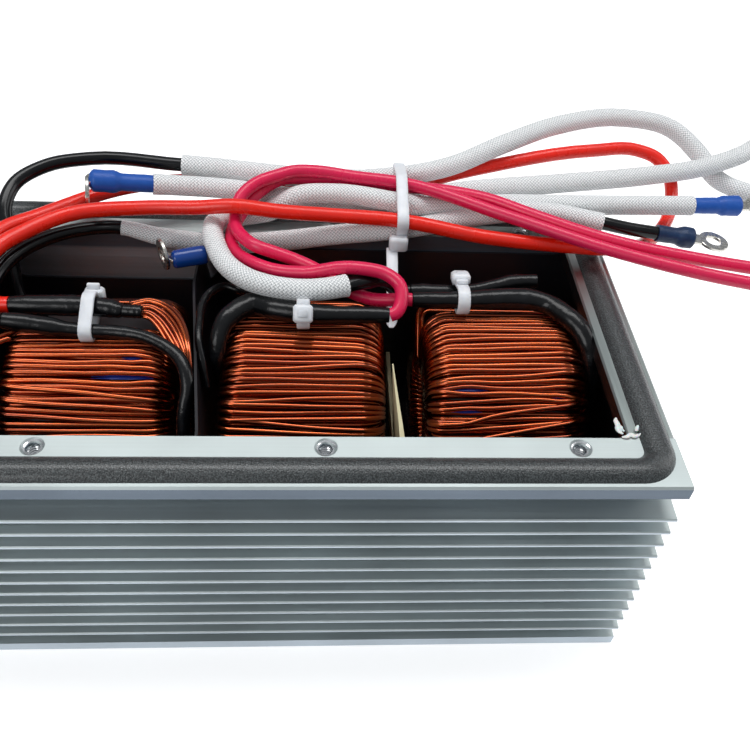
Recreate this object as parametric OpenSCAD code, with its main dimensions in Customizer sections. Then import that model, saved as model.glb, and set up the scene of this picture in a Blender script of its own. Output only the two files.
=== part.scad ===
// Power inductor: three toroidal windings potted in an open, finned
// aluminium case, with spliced flying leads tied over the rear rim.
// X runs along the case, +Y is the rear, +Z is up; the origin is on the
// floor under the middle of the case.

/* [Case] */
// Length of the case, end to end
case_len = 214; // [200:1:280]
// Width of the case over the fins, front to rear
case_wid = 125; // [118:1:150]
// Height of the rim above the floor
case_hgt = 84; // [82:1:100]
// Thickness of the base plate
base_t = 4; // [3:0.5:5]
// Thickness of the side and end walls
wall_t = 4; // [3:0.5:6]
// Thickness of the rim flange
flange_t = 5; // [4:0.5:6]
// Width of the rim flange along the front and the rear
side_flange_w = 17; // [17:0.5:19]
// Width of the rim flange along the two ends
end_flange_w = 13; // [12:0.5:16]

/* [Fins] */
// Number of fins on each side wall
fin_count = 11; // [6:1:11]
// Height from one fin to the next
fin_pitch = 6; // [5:0.25:6]
// Drop from the rim to the tip of the top fin
fin_drop = 14.5; // [13:0.5:16]
// Thickness of a fin where it meets the wall
fin_root_t = 2.6; // [2:0.1:3.2]
// Thickness of a fin at its tip
fin_tip_t = 1.2; // [0.8:0.1:1.6]

/* [Rim seal] */
// Width of the rim gasket
gasket_w = 8.4; // [6:0.2:9]
// Height of the rim gasket
gasket_h = 2.5; // [1.5:0.1:3]
// Margin of bare flange outside the gasket
gasket_in = 1.6; // [1:0.1:2.2]
// Corner radius of the gasket along its middle
gasket_r = 7; // [5:0.5:10]
// Radius of each sealant bead in the inner corners
bead_r = 2.6; // [1.5:0.1:3]
// Depth of each bead below the rim
bead_h = 8; // [5:0.5:10]
// Height of each bead above the rim
bead_top = 0.7; // [0.4:0.1:1.2]

/* [Cover screws] */
// Core diameter of each threaded cover hole
screw_d = 4.2; // [3.3:0.1:4.4]
// Diameter of the countersink round each cover hole
screw_sink_d = 6.2; // [5.4:0.1:6.4]
// Depth of each cover hole
screw_depth = 10; // [6:1:14]
// Distance of the holes from the outer edge of the rim
screw_in = 13.4; // [13.1:0.1:13.6]
// Place of the left pair of holes along the case
screw_x_left = -63; // [-80:1:-50]
// Place of the middle pair of holes along the case
screw_x_mid = 12; // [0:1:30]
// Place of the right pair of holes along the case
screw_x_right = 80; // [60:1:90]

/* [Windings] */
// Diameter over the winding
coil_od = 73; // [68:0.5:74]
// Length of the winding along the case
coil_len = 51; // [46:0.5:52]
// Bore through the winding
coil_bore = 30; // [24:0.5:34]
// Diameter of the enamelled wire
wire_d = 1.9; // [1.5:0.1:2.2]
// Turns that lie side by side round the outside
turns = 96; // [48:1:100]
// Build of the winding over the core
wind_t = 3; // [2.4:0.1:4]
// Gap between the right winding and the right end flange
end_gap = 0.5; // [0.3:0.1:2]
// Width of the wiring pocket between the left winding and the left end flange
pocket_w = 10.5; // [6:0.5:12]
// Height of the windings above the base plate
coil_lift = 4.5; // [4:0.5:5.5]

/* [Inner parts] */
// Depth of the potting bed above the base plate
bed_h = 16; // [12:0.5:20]
// Clearance between a winding and its cradle
coil_fit = 0.3; // [0.2:0.05:0.4]
// Thickness of the insulating liners
liner_t = 0.8; // [0.5:0.1:1.5]
// Height of the liners' top edge below the rim
liner_drop = 6; // [5:0.5:8]
// Depth of the wide notch in the liners' top edge
notch_h = 14; // [8:0.5:18]
// Corner radius of that notch
notch_r = 6; // [3:0.5:8]
// Thickness of the left divider sheet
sheet_t = 0.8; // [0.6:0.1:1.5]
// Thickness of the right divider board
board_t = 1.5; // [1:0.1:1.7]
// Distance from the middle winding to the middle of each divider
divider_gap = 2.5; // [1.6:0.1:4]
// Depth of the divider slots in the bed
slot_h = 8; // [4:0.5:10]
// Drop of the dividers' top edge below the rim
divider_drop = 5; // [4:0.5:10]
// Clearance round the dividers and behind the liners
sheet_fit = 0.2; // [0.1:0.05:0.3]

/* [Splices and ties] */
// Diameter of the shrink tube over each splice
splice_d = 7; // [5.6:0.1:7.2]
// Width of each nylon tie strap
strap_w = 3.8; // [2.5:0.1:5]
// Thickness of each nylon tie strap
strap_t = 1.1; // [0.8:0.1:1.4]
// Side of the tie's locking head
head_s = 5.4; // [4.5:0.1:6]
// Clearance between tubes, straps and windings
tie_fit = 0.15; // [0.1:0.05:0.3]

/* [Leads] */
// Diameter of the red lead
red_d = 4.8; // [4:0.1:4.9]
// Diameter of the crimson leads
crimson_d = 4.2; // [3.4:0.1:4.3]
// Diameter of the braided sleeves
sleeve_d = 6.8; // [5.6:0.1:6.9]
// Diameter of the black cable inside the sleeves
cable_d = 4.6; // [4:0.1:4.8]
// Thickness of a ring terminal's tongue
tongue_t = 1.2; // [0.8:0.1:1.6]
// Bore of a ring terminal
tongue_bore = 5.3; // [4.3:0.1:6.4]
// Diameter over a terminal's shrink tube, next to the ring
barrel_d = 7.6; // [6.4:0.1:7.8]
// Diameter of that shrink tube where the cable enters it
neck_d = 6; // [5.2:0.1:6.2]

/* [Hidden] */
eps = 0.01;
half_l = case_len / 2;
half_w = case_wid / 2;
in_y = half_w - side_flange_w;          // inner face of the side walls
in_x = half_l - end_flange_w;           // inner edge of the end flanges
end_x = half_l - wall_t;                // inner face of the end walls
rim_z = case_hgt;
fin_len = side_flange_w - wall_t;
bed_z = base_t + bed_h;
coil_r = coil_od / 2;
coil_z = base_t + coil_lift + coil_r;
core_r = coil_r - wind_t - sheet_fit;
core_ri = coil_bore / 2 + wind_t + sheet_fit;
core_len = coil_len - 2 * (wind_t + sheet_fit);
divider_z = rim_z - divider_drop;
liner_z = rim_z - liner_drop;
dome_r = (gasket_w * gasket_w / 4 + gasket_h * gasket_h) / (2 * gasket_h);
gx = half_l - gasket_in - gasket_w / 2;
gy = half_w - gasket_in - gasket_w / 2;
coil_pitch = (2 * in_x - pocket_w - end_gap - coil_len) / 2;
function coil_x(n) = in_x - end_gap - coil_len / 2 - (3 - n) * coil_pitch;
divider_half = coil_len / 2 + min(divider_gap, (coil_pitch - coil_len) / 2);
function divider_x(s) = coil_x(2) + s * divider_half;

// ---- aluminium case ----
module side_profile() {
    polygon(concat(
        [[in_y, base_t], [in_y, rim_z], [half_w - 0.6, rim_z], [half_w, rim_z - 0.6],
         [half_w, rim_z - flange_t + 0.5], [half_w - 0.5, rim_z - flange_t],
         [half_w - 8.4, rim_z - flange_t], [half_w - 9, rim_z - flange_t - 0.6],
         [half_w - 9, rim_z - fin_drop + 3.2], [half_w - fin_len, rim_z - fin_drop + 2.4]],
        [for (i = [0 : fin_count - 1]) let (z = rim_z - fin_drop - i * fin_pitch)
            each [[half_w - fin_len, z + fin_root_t / 2], [half_w - 0.3, z + fin_tip_t / 2],
                  [half_w, z + fin_tip_t / 2 - 0.3], [half_w, z - fin_tip_t / 2 + 0.3],
                  [half_w - 0.3, z - fin_tip_t / 2], [half_w - fin_len, z - fin_root_t / 2]]],
        [[half_w - fin_len, base_t]]));
}
module cover_hole() {
    translate([0, 0, -screw_depth]) cylinder(d = screw_d, h = screw_depth + 1, $fn = 32);
    sink = (screw_sink_d - screw_d) / 2;
    translate([0, 0, -sink]) cylinder(d1 = screw_d, d2 = screw_sink_d + 2 * eps, h = sink + eps, $fn = 32);
}
module side_wall() {
    difference() {
        rotate([90, 0, 90]) translate([0, 0, -half_l]) linear_extrude(case_len) side_profile();
        for (x = [screw_x_left, screw_x_mid, screw_x_right])
            translate([x, half_w - screw_in, rim_z]) cover_hole();
    }
}
module rear_wall() { color([0.72, 0.75, 0.76]) side_wall(); }
module front_wall() { color([0.72, 0.75, 0.76]) mirror([0, 1, 0]) side_wall(); }
module base_plate() {
    color([0.70, 0.73, 0.74]) translate([-half_l, -half_w, 0]) cube([case_len, case_wid, base_t]);
}
module end_plate() {
    rotate([90, 0, 0]) translate([0, 0, -in_y]) linear_extrude(2 * in_y)
        polygon([[end_x, base_t], [half_l, base_t], [half_l, rim_z - 0.6], [half_l - 0.6, rim_z],
                 [in_x + 0.5, rim_z], [in_x, rim_z - 0.5], [in_x, rim_z - flange_t],
                 [end_x - 2.5, rim_z - flange_t], [end_x, rim_z - flange_t - 2.5]]);
}
module right_end_plate() { color([0.66, 0.69, 0.70]) end_plate(); }
module left_end_plate() { color([0.66, 0.69, 0.70]) mirror([1, 0, 0]) end_plate(); }

// ---- seal ----
module dome() {
    intersection() {
        translate([0, gasket_h - dome_r]) circle(r = dome_r, $fn = 48);
        translate([-gasket_w / 2, 0]) square([gasket_w, gasket_h + 1]);
    }
}
module rim_gasket() {
    color([0.24, 0.26, 0.24]) translate([0, 0, rim_z]) {
        for (s = [0, 1]) mirror([0, s, 0]) translate([-(gx - gasket_r), gy, 0])
            rotate([90, 0, 90]) linear_extrude(2 * (gx - gasket_r)) dome();
        for (s = [0, 1]) mirror([s, 0, 0]) translate([gx, gy - gasket_r, 0])
            rotate([90, 0, 0]) linear_extrude(2 * (gy - gasket_r)) dome();
        for (sx = [0, 1], sy = [0, 1]) mirror([sx, 0, 0]) mirror([0, sy, 0])
            translate([gx - gasket_r, gy - gasket_r, 0])
                rotate_extrude(angle = 90, $fn = 64) translate([gasket_r, 0]) dome();
    }
}
module bead() {
    far = bead_r + 1;
    difference() {
        union() {
            translate([in_x, in_y, rim_z - bead_h]) cylinder(r = bead_r, h = bead_h, $fn = 32);
            translate([in_x, in_y, rim_z]) cylinder(r1 = bead_r, r2 = bead_r * 0.6, h = bead_top, $fn = 32);
        }
        translate([in_x, in_y - far, rim_z - bead_h - 1]) cube([far, 2 * far, bead_h + 1]);
        translate([in_x - far, in_y, rim_z - bead_h - 1]) cube([2 * far, far, bead_h + 1]);
    }
}
module corner_sealant() {
    color([0.93, 0.94, 0.93]) for (sx = [0, 1], sy = [0, 1])
        mirror([sx, 0, 0]) mirror([0, sy, 0]) bead();
}

// ---- potting, liners and dividers ----
module potting_bed() {
    color([0.08, 0.08, 0.09]) difference() {
        translate([-end_x, -in_y, base_t]) cube([2 * end_x, 2 * in_y, bed_h]);
        for (n = [1 : 3]) translate([coil_x(n) - coil_len / 2 - 0.5, 0, coil_z]) rotate([0, 90, 0])
            cylinder(r = coil_r + coil_fit, h = coil_len + 1, $fn = 96);
        for (s = [-1, 1]) let (t = (s < 0 ? sheet_t : board_t) + 2 * sheet_fit)
            translate([divider_x(s) - t / 2, -in_y - 1, bed_z - slot_h])
                cube([t, 2 * in_y + 2, slot_h + 1]);
    }
}
module liner() {
    notch_x = divider_x(-1) - 3;
    difference() {
        translate([-end_x + sheet_fit, in_y - liner_t, bed_z]) cube([2 * (end_x - sheet_fit), liner_t, liner_z - bed_z]);
        translate([-end_x + 5, in_y - liner_t - 1, liner_z - notch_h]) {
            translate([0, 0, notch_r]) cube([notch_x + end_x - 5, liner_t + 2, notch_h]);
            translate([notch_r, 0, 0]) cube([notch_x + end_x - 5 - 2 * notch_r, liner_t + 2, notch_h]);
            for (x = [notch_r, notch_x + end_x - 5 - notch_r]) translate([x, 0, notch_r])
                rotate([-90, 0, 0]) cylinder(r = notch_r, h = liner_t + 2, $fn = 32);
        }
    }
}
module rear_liner() { color([0.06, 0.06, 0.07]) liner(); }
module front_liner() { color([0.06, 0.06, 0.07]) mirror([0, 1, 0]) liner(); }
module divider(t) {
    w = in_y - liner_t - sheet_fit;
    translate([-t / 2, -w, bed_z - slot_h]) cube([t, 2 * w, divider_z - bed_z + slot_h]);
}
module divider_left() { color([0.16, 0.16, 0.17]) translate([divider_x(-1), 0, 0]) divider(sheet_t); }
module divider_right() { color([0.85, 0.83, 0.66]) translate([divider_x(1), 0, 0]) divider(board_t); }

// ---- windings ----
module core(n) {
    color([0.20, 0.20, 0.21]) translate([coil_x(n), 0, coil_z]) rotate([0, 90, 0])
        translate([0, 0, -core_len / 2]) difference() {
            cylinder(r = core_r, h = core_len, $fn = 96);
            translate([0, 0, -1]) cylinder(r = core_ri, h = core_len + 2, $fn = 64);
        }
}
module winding(n) {
    ro = coil_r - wire_d / 2;
    hw = coil_len / 2;
    br = wind_t;
    color([0.72, 0.33, 0.12]) translate([coil_x(n), 0, coil_z]) difference() {
        union() {
            rotate([90, 0, 90]) translate([0, 0, -(hw - br)]) linear_extrude(2 * (hw - br)) {
                circle(r = ro, $fn = 96);
                for (i = [0 : turns - 1]) rotate(i * 360 / turns) translate([ro, 0]) circle(d = wire_d, $fn = 20);
            }
            for (s = [0, 1]) mirror([s, 0, 0]) translate([hw - br, 0, 0]) rotate([0, 90, 0])
                rotate_extrude($fn = 96) {
                    translate([coil_r - br - 0.3, 0]) intersection() { circle(r = br, $fn = 32); square(br + 1); }
                    square([coil_r - br - 0.3, br]);
                }
        }
        rotate([0, 90, 0]) cylinder(d = coil_bore, h = coil_len + 2, center = true, $fn = 64);
        rotate([0, 90, 0]) difference() {
            cylinder(r = core_r + sheet_fit, h = core_len + 2 * sheet_fit, center = true, $fn = 96);
            cylinder(r = core_ri - sheet_fit, h = core_len + 4, center = true, $fn = 64);
        }
    }
}
module core_1() { core(1); }
module core_2() { core(2); }
module core_3() { core(3); }
module winding_1() { winding(1); }
module winding_2() { winding(2); }
module winding_3() { winding(3); }

// ---- splices on top of the windings ----
splice_lift = strap_t + 2 * tie_fit;
splice_rr = coil_r + splice_lift + splice_d / 2;        // from the winding's axis to a tube's axis
splice_step = 2 * asin((splice_d + tie_fit) / 2 / splice_rr);
splice_a0 = [-splice_step / 2, 1.5, 14];                // how far the first tube of each winding leans to the rear
function splice_a(n, k) = splice_a0[n - 1] + k * splice_step;
// How far each tube begins and stops inside the two ends of its winding; below 0 it reaches past them
tube_in = [[[1.5, -0.5], [1.5, 6.5]], [[2.5, -0.5]], [[-3.5, 7.5], [-3.5, 18.5]]];
module splice_sleeves(n) {
    color([0.07, 0.07, 0.08]) for (k = [0 : len(tube_in[n - 1]) - 1]) let (e = tube_in[n - 1][k])
        translate([coil_x(n) - coil_len / 2 + e[0], splice_rr * sin(splice_a(n, k)), coil_z + splice_rr * cos(splice_a(n, k))])
            rotate([0, 90, 0]) cylinder(d = splice_d, h = coil_len - e[0] - e[1], $fn = 32);
}
module splice_sleeves_1() { splice_sleeves(1); }
module splice_sleeves_2() { splice_sleeves(2); }
module splice_sleeves_3() { splice_sleeves(3); }
// A tie round the first of a winding's tubes, or round both; lean turns the head to the front
module tie_loop(n, x, tubes = 2, lean = 0) {
    r = splice_d / 2 + tie_fit;
    d = tubes == 2 ? 2 * splice_rr * sin(splice_step / 2) : 0;
    am = splice_a(n, 0) + (tubes - 1) * splice_step / 2;
    rr = tubes == 2 ? splice_rr * cos(splice_step / 2) : splice_rr;
    translate([coil_x(n) + x - strap_w / 2, rr * sin(am), coil_z + rr * cos(am)]) rotate([90, 0, 90]) rotate(lean - am) {
        linear_extrude(strap_w) difference() {
            union() { for (s = [-1, 1]) translate([s * d / 2, 0]) circle(r = r + strap_t, $fn = 48); square([d + eps, 2 * (r + strap_t)], center = true); }
            for (s = [-1, 1]) translate([s * d / 2, 0]) circle(r = r, $fn = 48);
            square([d + eps, 2 * r], center = true);
        }
        translate([-head_s / 2, r + strap_t - 0.2, (strap_w - head_s) / 2]) cube([head_s, head_s * 0.75, head_s]);
    }
}
module coil_tie_1() { color([0.88, 0.89, 0.90]) tie_loop(1, -3); }
module coil_tie_2() { color([0.88, 0.89, 0.90]) tie_loop(2, 0, tubes = 1, lean = 50); }
module coil_tie_3() { color([0.88, 0.89, 0.90]) tie_loop(3, -14); }

// ---- flying leads ----
// Middle line of each lead, from its splice to its far end.
red_path = [[-82.3, 3.6, 86.3], [-85, 3.6, 86.3], [-90.5, 7.4, 89.4], [-91.4, 13, 92.6], [-88.4, 20, 94.6], [-81, 29.6, 95],
    [-71, 37.4, 95.4], [-48, 41.6, 95.8], [-30, 40.4, 97.2], [-18, 39.2, 98.9], [-4, 39.6, 97], [12, 40.8, 95.2],
    [37, 40.2, 93.9], [64, 37.2, 90.4], [90, 34.5, 89.4], [104, 33, 89.6], [116, 39, 85.8], [124, 46.5, 82],
    [132, 55, 80.4], [139, 65, 82], [141.6, 73, 85], [141.4, 80.5, 89.6], [137, 85.6, 93.6], [129, 88, 95.6],
    [112, 86, 96], [66, 75.4, 93], [37, 66.8, 90], [-46, 65.5, 90.6], [-60, 59.6, 91], [-82, 41, 92], [-90, 32.6, 93],
    [-96, 20, 92.4], [-103, 4, 90.8]];
crimson_path_1 = [[31.3, 1.1, 86.4], [33, 1.5, 87], [34.8, 5, 89.2], [34.4, 9, 91.6], [30.6, 12, 93.4], [24, 13.6, 94.2],
    [17.5, 14.5, 93.9], [5.2, 15.4, 91], [-4.2, 17.6, 90], [-11.5, 21.8, 89.6], [-16.6, 27.3, 88.9], [-19.2, 34.4, 88.9],
    [-19.2, 40, 89.3], [-17.2, 45.2, 91], [-14, 49.4, 94.2], [-9.6, 54.4, 96], [-4, 57.6, 97.6], [6, 59.4, 97.3],
    [20, 59.2, 96.9], [37, 58.3, 95.9], [52, 54, 97.2], [66, 49.5, 97.3], [80, 42.6, 96.2], [104, 31.3, 94.6],
    [133, 21.4, 94.4], [152, 16.6, 94.4]];
crimson_path_2 = [[38.7, 10, 85.2], [36.3, 10, 85.2], [26, 11.8, 83.8], [17, 15, 85.6], [9, 20, 88.4], [1.7, 23.2, 90],
    [-4.6, 24.6, 91.6], [-10.8, 26.2, 93], [-14.8, 30.6, 92.9], [-17.6, 36, 93.2], [-17.9, 42.2, 94.8],
    [-16.6, 46.6, 97.4], [-12, 51, 99.9], [-5.5, 54, 101.2], [1, 56.8, 101.6], [8, 57.2, 101.5], [21.3, 56.4, 100.2],
    [37, 54.9, 99.3], [72, 41, 96.2], [104, 25.6, 94.4], [131, 14, 94.4], [157, 6, 94.4]];
black_path_1 = [[-83.7, 24, 64], [-86, 24.2, 64.6], [-89, 26.6, 68.8], [-91, 31.4, 77.4], [-91.4, 36.6, 86], [-93.5, 45, 92.4],
    [-91.5, 54, 96], [-83, 62, 98], [-69, 66.4, 98.6], [-38, 66.2, 97.2], [37, 64.6, 95.8], [55, 69, 97.6],
    [75, 79.2, 101], [99, 93.5, 102], [126, 102.6, 101], [146, 100.6, 98], [156.3, 92.4, 92], [162, 84, 86.8],
    [171, 76, 86], [183, 70.4, 86.6], [196, 71, 88.4], [205.5, 79, 91], [205.5, 90, 94], [196, 98, 96], [183, 96, 96],
    [170, 87.4, 95], [151, 78.6, 94], [130, 72.6, 94], [96, 66.4, 93.6], [60, 63, 91.6], [37, 58.6, 89.9], [0, 58.8, 90],
    [-22, 57.5, 93.6], [-46, 53, 97.6]];
black_path_2 = [[-82.3, -3.6, 86.3], [-85, -3.6, 86.3], [-89.4, -1.4, 84.6], [-91.2, 6, 83.8], [-90.6, 14.5, 85.4], [-87.6, 22.5, 87.6], [-78, 35, 88],
    [-68, 41, 87.4], [-56, 42, 87.6], [-44, 41.4, 84.8], [-31, 41.2, 82.8], [-17, 41.2, 82.8], [-4, 41.6, 83.8], [16, 42.4, 86.4], [37, 43.3, 88.6],
    [50, 46.8, 88.6], [66, 48.8, 91.2], [88, 50, 92], [107, 46.8, 90.4], [117, 45.6, 89], [127, 44.8, 88]];
white_path_1 = [[38.7, 16.8, 82.9], [36, 16.8, 82.9], [30, 15.8, 87.8], [23.5, 12.4, 90], [18, 9.6, 90.8], [8, 7, 91], [-3, 7.8, 91],
    [-12, 11.8, 90.8], [-19, 19, 90.4], [-23.2, 28, 90.3], [-25.1, 35, 90.3], [-25.4, 42, 89.9], [-22.8, 47.6, 88],
    [-16.6, 50.4, 87.7], [-8, 51, 89.2], [2, 52.4, 94.8], [14, 52.4, 96], [37, 49.8, 94.6], [46, 52.2, 91.8],
    [56, 54.7, 90.8], [66, 56.2, 90.6], [104, 57.4, 90.6], [143, 58.6, 90.6]];

function unit(v) = v / max(norm(v), 0.000001);
function tangent(p, i) = unit(p[min(i + 1, len(p) - 1)] - p[max(i - 1, 0)]);
// side direction of ring i: square to the path, carried on from the ring before
function side(p, i) = i == 0
    ? unit(cross(tangent(p, 0), abs(tangent(p, 0)[2]) > 0.9 ? [1, 0, 0] : [0, 0, 1]))
    : let (t = tangent(p, i), s = side(p, i - 1)) unit(s - (s * t) * t);
module cord(p, d, sides = 8) {
    n = len(p);
    pts = [for (i = [0 : n - 1]) let (t = tangent(p, i), a = side(p, i), b = cross(t, a))
        for (k = [0 : sides - 1]) p[i] + d / 2 * (a * cos(k * 360 / sides) + b * sin(k * 360 / sides))];
    faces = concat([[for (k = [0 : sides - 1]) k]],
        [for (i = [0 : n - 2], k = [0 : sides - 1]) let (k2 = (k + 1) % sides, a = i * sides, b = a + sides)
            each [[a + k, b + k, b + k2], [a + k, b + k2, a + k2]]],
        [[for (k = [sides - 1 : -1 : 0]) (n - 1) * sides + k]]);
    polyhedron(points = pts, faces = faces, convexity = 6);
}
module red_lead() { color([0.82, 0.08, 0.06]) cord(red_path, red_d); }
module crimson_lead_1() { color([0.80, 0.12, 0.28]) cord(crimson_path_1, crimson_d); }
module crimson_lead_2() { color([0.80, 0.12, 0.28]) cord(crimson_path_2, crimson_d); }
// A black cable whose braided sleeve runs from ring a to ring b of its path
module sleeved(p, a, b) {
    n = len(p) - 1;
    color([0.06, 0.06, 0.06]) {
        if (a > 0) cord([for (i = [0 : a]) p[i]], cable_d);
        if (b < n) cord([for (i = [b : n]) p[i]], cable_d);
    }
    color([0.85, 0.86, 0.87]) cord([for (i = [a : b]) p[i]], sleeve_d);
}
module black_lead_1() { sleeved(black_path_1, 9, len(black_path_1) - 1); }
module black_lead_2() { sleeved(black_path_2, 8, 18); }
module white_lead() { sleeved(white_path_1, 4, len(white_path_1) - 1); }

// A ring terminal at the far end of a lead: shrink-covered barrel, then the flat ring.
// A bent one has its ring turned square to the barrel, at its mouth.
module ring_terminal(at, yaw, pitch = 0, barrel = 18, bent = false) {
    ring_r = tongue_bore / 2 + 2.6;
    translate(at) rotate([0, -pitch, yaw]) {
        rotate([0, 90, 0]) {
            cylinder(d = neck_d, h = barrel * 0.5, $fn = 32);
            translate([0, 0, barrel * 0.5]) cylinder(d1 = neck_d, d2 = barrel_d, h = 2, $fn = 32);
            translate([0, 0, barrel * 0.5 + 2]) cylinder(d = barrel_d, h = barrel * 0.5 - 2, $fn = 32);
        }
        if (bent) translate([barrel - eps, 1.3, -3.7]) rotate([0, 90, 0]) linear_extrude(tongue_t) difference() {
            circle(r = ring_r, $fn = 40);
            circle(d = tongue_bore, $fn = 32);
        }
        else translate([barrel, 0, -tongue_t / 2]) linear_extrude(tongue_t) difference() {
            union() { translate([ring_r + 2, 0]) circle(r = ring_r, $fn = 40); translate([0, -2.6]) square([ring_r, 5.2]); }
            translate([ring_r + 2, 0]) circle(d = tongue_bore, $fn = 32);
        }
    }
}
function dir(p) = let (n = len(p)) unit(p[n - 1] - p[n - 2]);
module end_terminal(p, barrel = 18, bent = false) {
    v = dir(p);
    ring_terminal(p[len(p) - 1] + 0.2 * v, atan2(v[1], v[0]), asin(v[2]), barrel, bent);
}
module terminals_left() { color([0.10, 0.22, 0.62]) { end_terminal(black_path_1, 20, bent = true); end_terminal(red_path); } }
module terminals_right() {
    color([0.10, 0.22, 0.62]) {
        for (p = [white_path_1, crimson_path_1, crimson_path_2]) end_terminal(p);
        end_terminal(black_path_2, 13);
    }
}

// Tie round the bundle, on the rear rim: a strap, its head in front and its tail over the divider.
tie_x = 37;
tail_x = 33.7;
bundle_front = 43.3;    // middle of the lead at the front of the bundle
head_z = 84.6;          // underside of the locking head
module bundle_section(grow) {
    hull() for (c = [[bundle_front, 88.6, sleeve_d], [49.8, 94.6, sleeve_d], [58.6, 89.9, sleeve_d], [64.6, 95.8, sleeve_d],
                     [66.8, 90, red_d], [40.2, 93.9, red_d], [54.9, 99.3, crimson_d]])
        translate([c[0], c[1]]) circle(r = c[2] / 2 + tie_fit + grow, $fn = 32);
}
module bundle_tie() {
    front = bundle_front - sleeve_d / 2 - tie_fit - strap_t;     // front of the strap
    color([0.90, 0.91, 0.92]) {
        translate([tie_x - strap_w / 2, 0, 0]) rotate([90, 0, 90]) linear_extrude(strap_w) difference() {
            bundle_section(strap_t);
            bundle_section(0);
        }
        translate([tail_x - strap_w / 2, front + 0.2 - head_s * 0.75, head_z]) cube([tie_x - tail_x + (strap_w + head_s) / 2, head_s * 0.75, head_s]);
        translate([tail_x - strap_w / 2, 0, 0]) rotate([90, 0, 90]) linear_extrude(strap_w)
            polygon([[front - 1, head_z + 0.2], [24, divider_z + 0.3], [0, divider_z + 0.3], [0, divider_z + 0.3 + strap_t],
                     [23.6, divider_z + 0.3 + strap_t], [front - 2.6, head_z + 0.6]]);
    }
}
base_plate();
front_wall();
rear_wall();
left_end_plate();
right_end_plate();
rim_gasket();
corner_sealant();
potting_bed();
front_liner();
rear_liner();
divider_left();
divider_right();
core_1();
core_2();
core_3();
winding_1();
winding_2();
winding_3();
splice_sleeves_1();
splice_sleeves_2();
splice_sleeves_3();
coil_tie_1();
coil_tie_2();
coil_tie_3();
bundle_tie();
red_lead();
crimson_lead_1();
crimson_lead_2();
black_lead_1();
black_lead_2();
white_lead();
terminals_left();
terminals_right();
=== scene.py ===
# %% [markdown]
# # Three wound chokes in a finned aluminium case
# The real unit is a power inductor: three toroidal windings stand side by side
# in an extruded case, half sunk in black resin. Their spliced leads run out
# over the rear rim in glass-braid sleeves and are held by nylon ties.
# The CAD solids give every place and size. This script gives the finishes and
# the detail that solids leave out: single wires, braid, wrinkled shrink tube.

import math
import random

import bpy
import numpy as np
from mathutils import Matrix, Vector


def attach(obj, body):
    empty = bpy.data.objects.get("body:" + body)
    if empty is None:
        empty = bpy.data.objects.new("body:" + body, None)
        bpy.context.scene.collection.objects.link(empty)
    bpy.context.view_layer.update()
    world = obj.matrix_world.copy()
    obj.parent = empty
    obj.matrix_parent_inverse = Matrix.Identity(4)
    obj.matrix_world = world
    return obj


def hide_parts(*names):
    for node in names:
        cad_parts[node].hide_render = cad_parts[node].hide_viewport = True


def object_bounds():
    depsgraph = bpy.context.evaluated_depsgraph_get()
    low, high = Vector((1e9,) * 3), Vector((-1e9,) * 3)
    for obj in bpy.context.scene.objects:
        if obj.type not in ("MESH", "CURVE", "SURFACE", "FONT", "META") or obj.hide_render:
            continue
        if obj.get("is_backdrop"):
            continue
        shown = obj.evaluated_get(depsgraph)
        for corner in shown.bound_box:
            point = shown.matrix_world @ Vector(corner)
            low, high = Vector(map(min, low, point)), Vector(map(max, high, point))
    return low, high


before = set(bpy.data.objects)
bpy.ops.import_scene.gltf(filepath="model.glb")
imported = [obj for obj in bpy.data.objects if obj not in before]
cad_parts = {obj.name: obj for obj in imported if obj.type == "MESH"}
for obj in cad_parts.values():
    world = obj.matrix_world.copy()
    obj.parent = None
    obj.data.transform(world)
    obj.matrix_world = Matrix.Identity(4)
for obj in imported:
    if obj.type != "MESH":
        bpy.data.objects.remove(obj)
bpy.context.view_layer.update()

# %% [markdown]
# ## Camera
# A 39 mm lens close above the front edge looks 45 degrees down, so the rim
# widens towards the viewer. A perspective camera could be aimed with a Track
# To constraint, but a matrix built from pitch, yaw and roll says the same
# without an extra object.

# %% Camera
LENS_MM = 38.98
EYE_MM = (10.69, -185.64, 248.47)
PITCH, YAW, ROLL = (math.radians(a) for a in (45.068, 5.323, 4.326))

ahead = Vector((math.sin(YAW) * math.cos(PITCH), math.cos(YAW) * math.cos(PITCH), -math.sin(PITCH)))
level = Vector((math.cos(YAW), -math.sin(YAW), 0))
above = level.cross(ahead)
cam_x = level * math.cos(ROLL) + above * math.sin(ROLL)
cam_y = above * math.cos(ROLL) - level * math.sin(ROLL)

camera = bpy.data.objects.new("camera", bpy.data.cameras.new("camera"))
camera.data.lens = LENS_MM
camera.data.clip_start, camera.data.clip_end = 0.01, 20
camera.matrix_world = (
    Matrix.Translation(Vector(EYE_MM) / 1000) @ Matrix((cam_x, cam_y, -ahead)).transposed().to_4x4()
)
bpy.context.scene.collection.objects.link(camera)
bpy.context.scene.camera = camera
print("camera looks along", [round(v, 3) for v in ahead])

# %% [markdown]
# ## Helpers for meshes
# Leads, sleeves, ties, shrink tubes and wires are all one thing: a small
# outline pushed along a line. A curve with a bevel could do it, but a mesh
# made here can swell, flatten and carry its own lengthwise texture
# coordinates, which the braid needs.

# %% A smooth line through points
MM = 0.001  # a millimetre in metres


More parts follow.
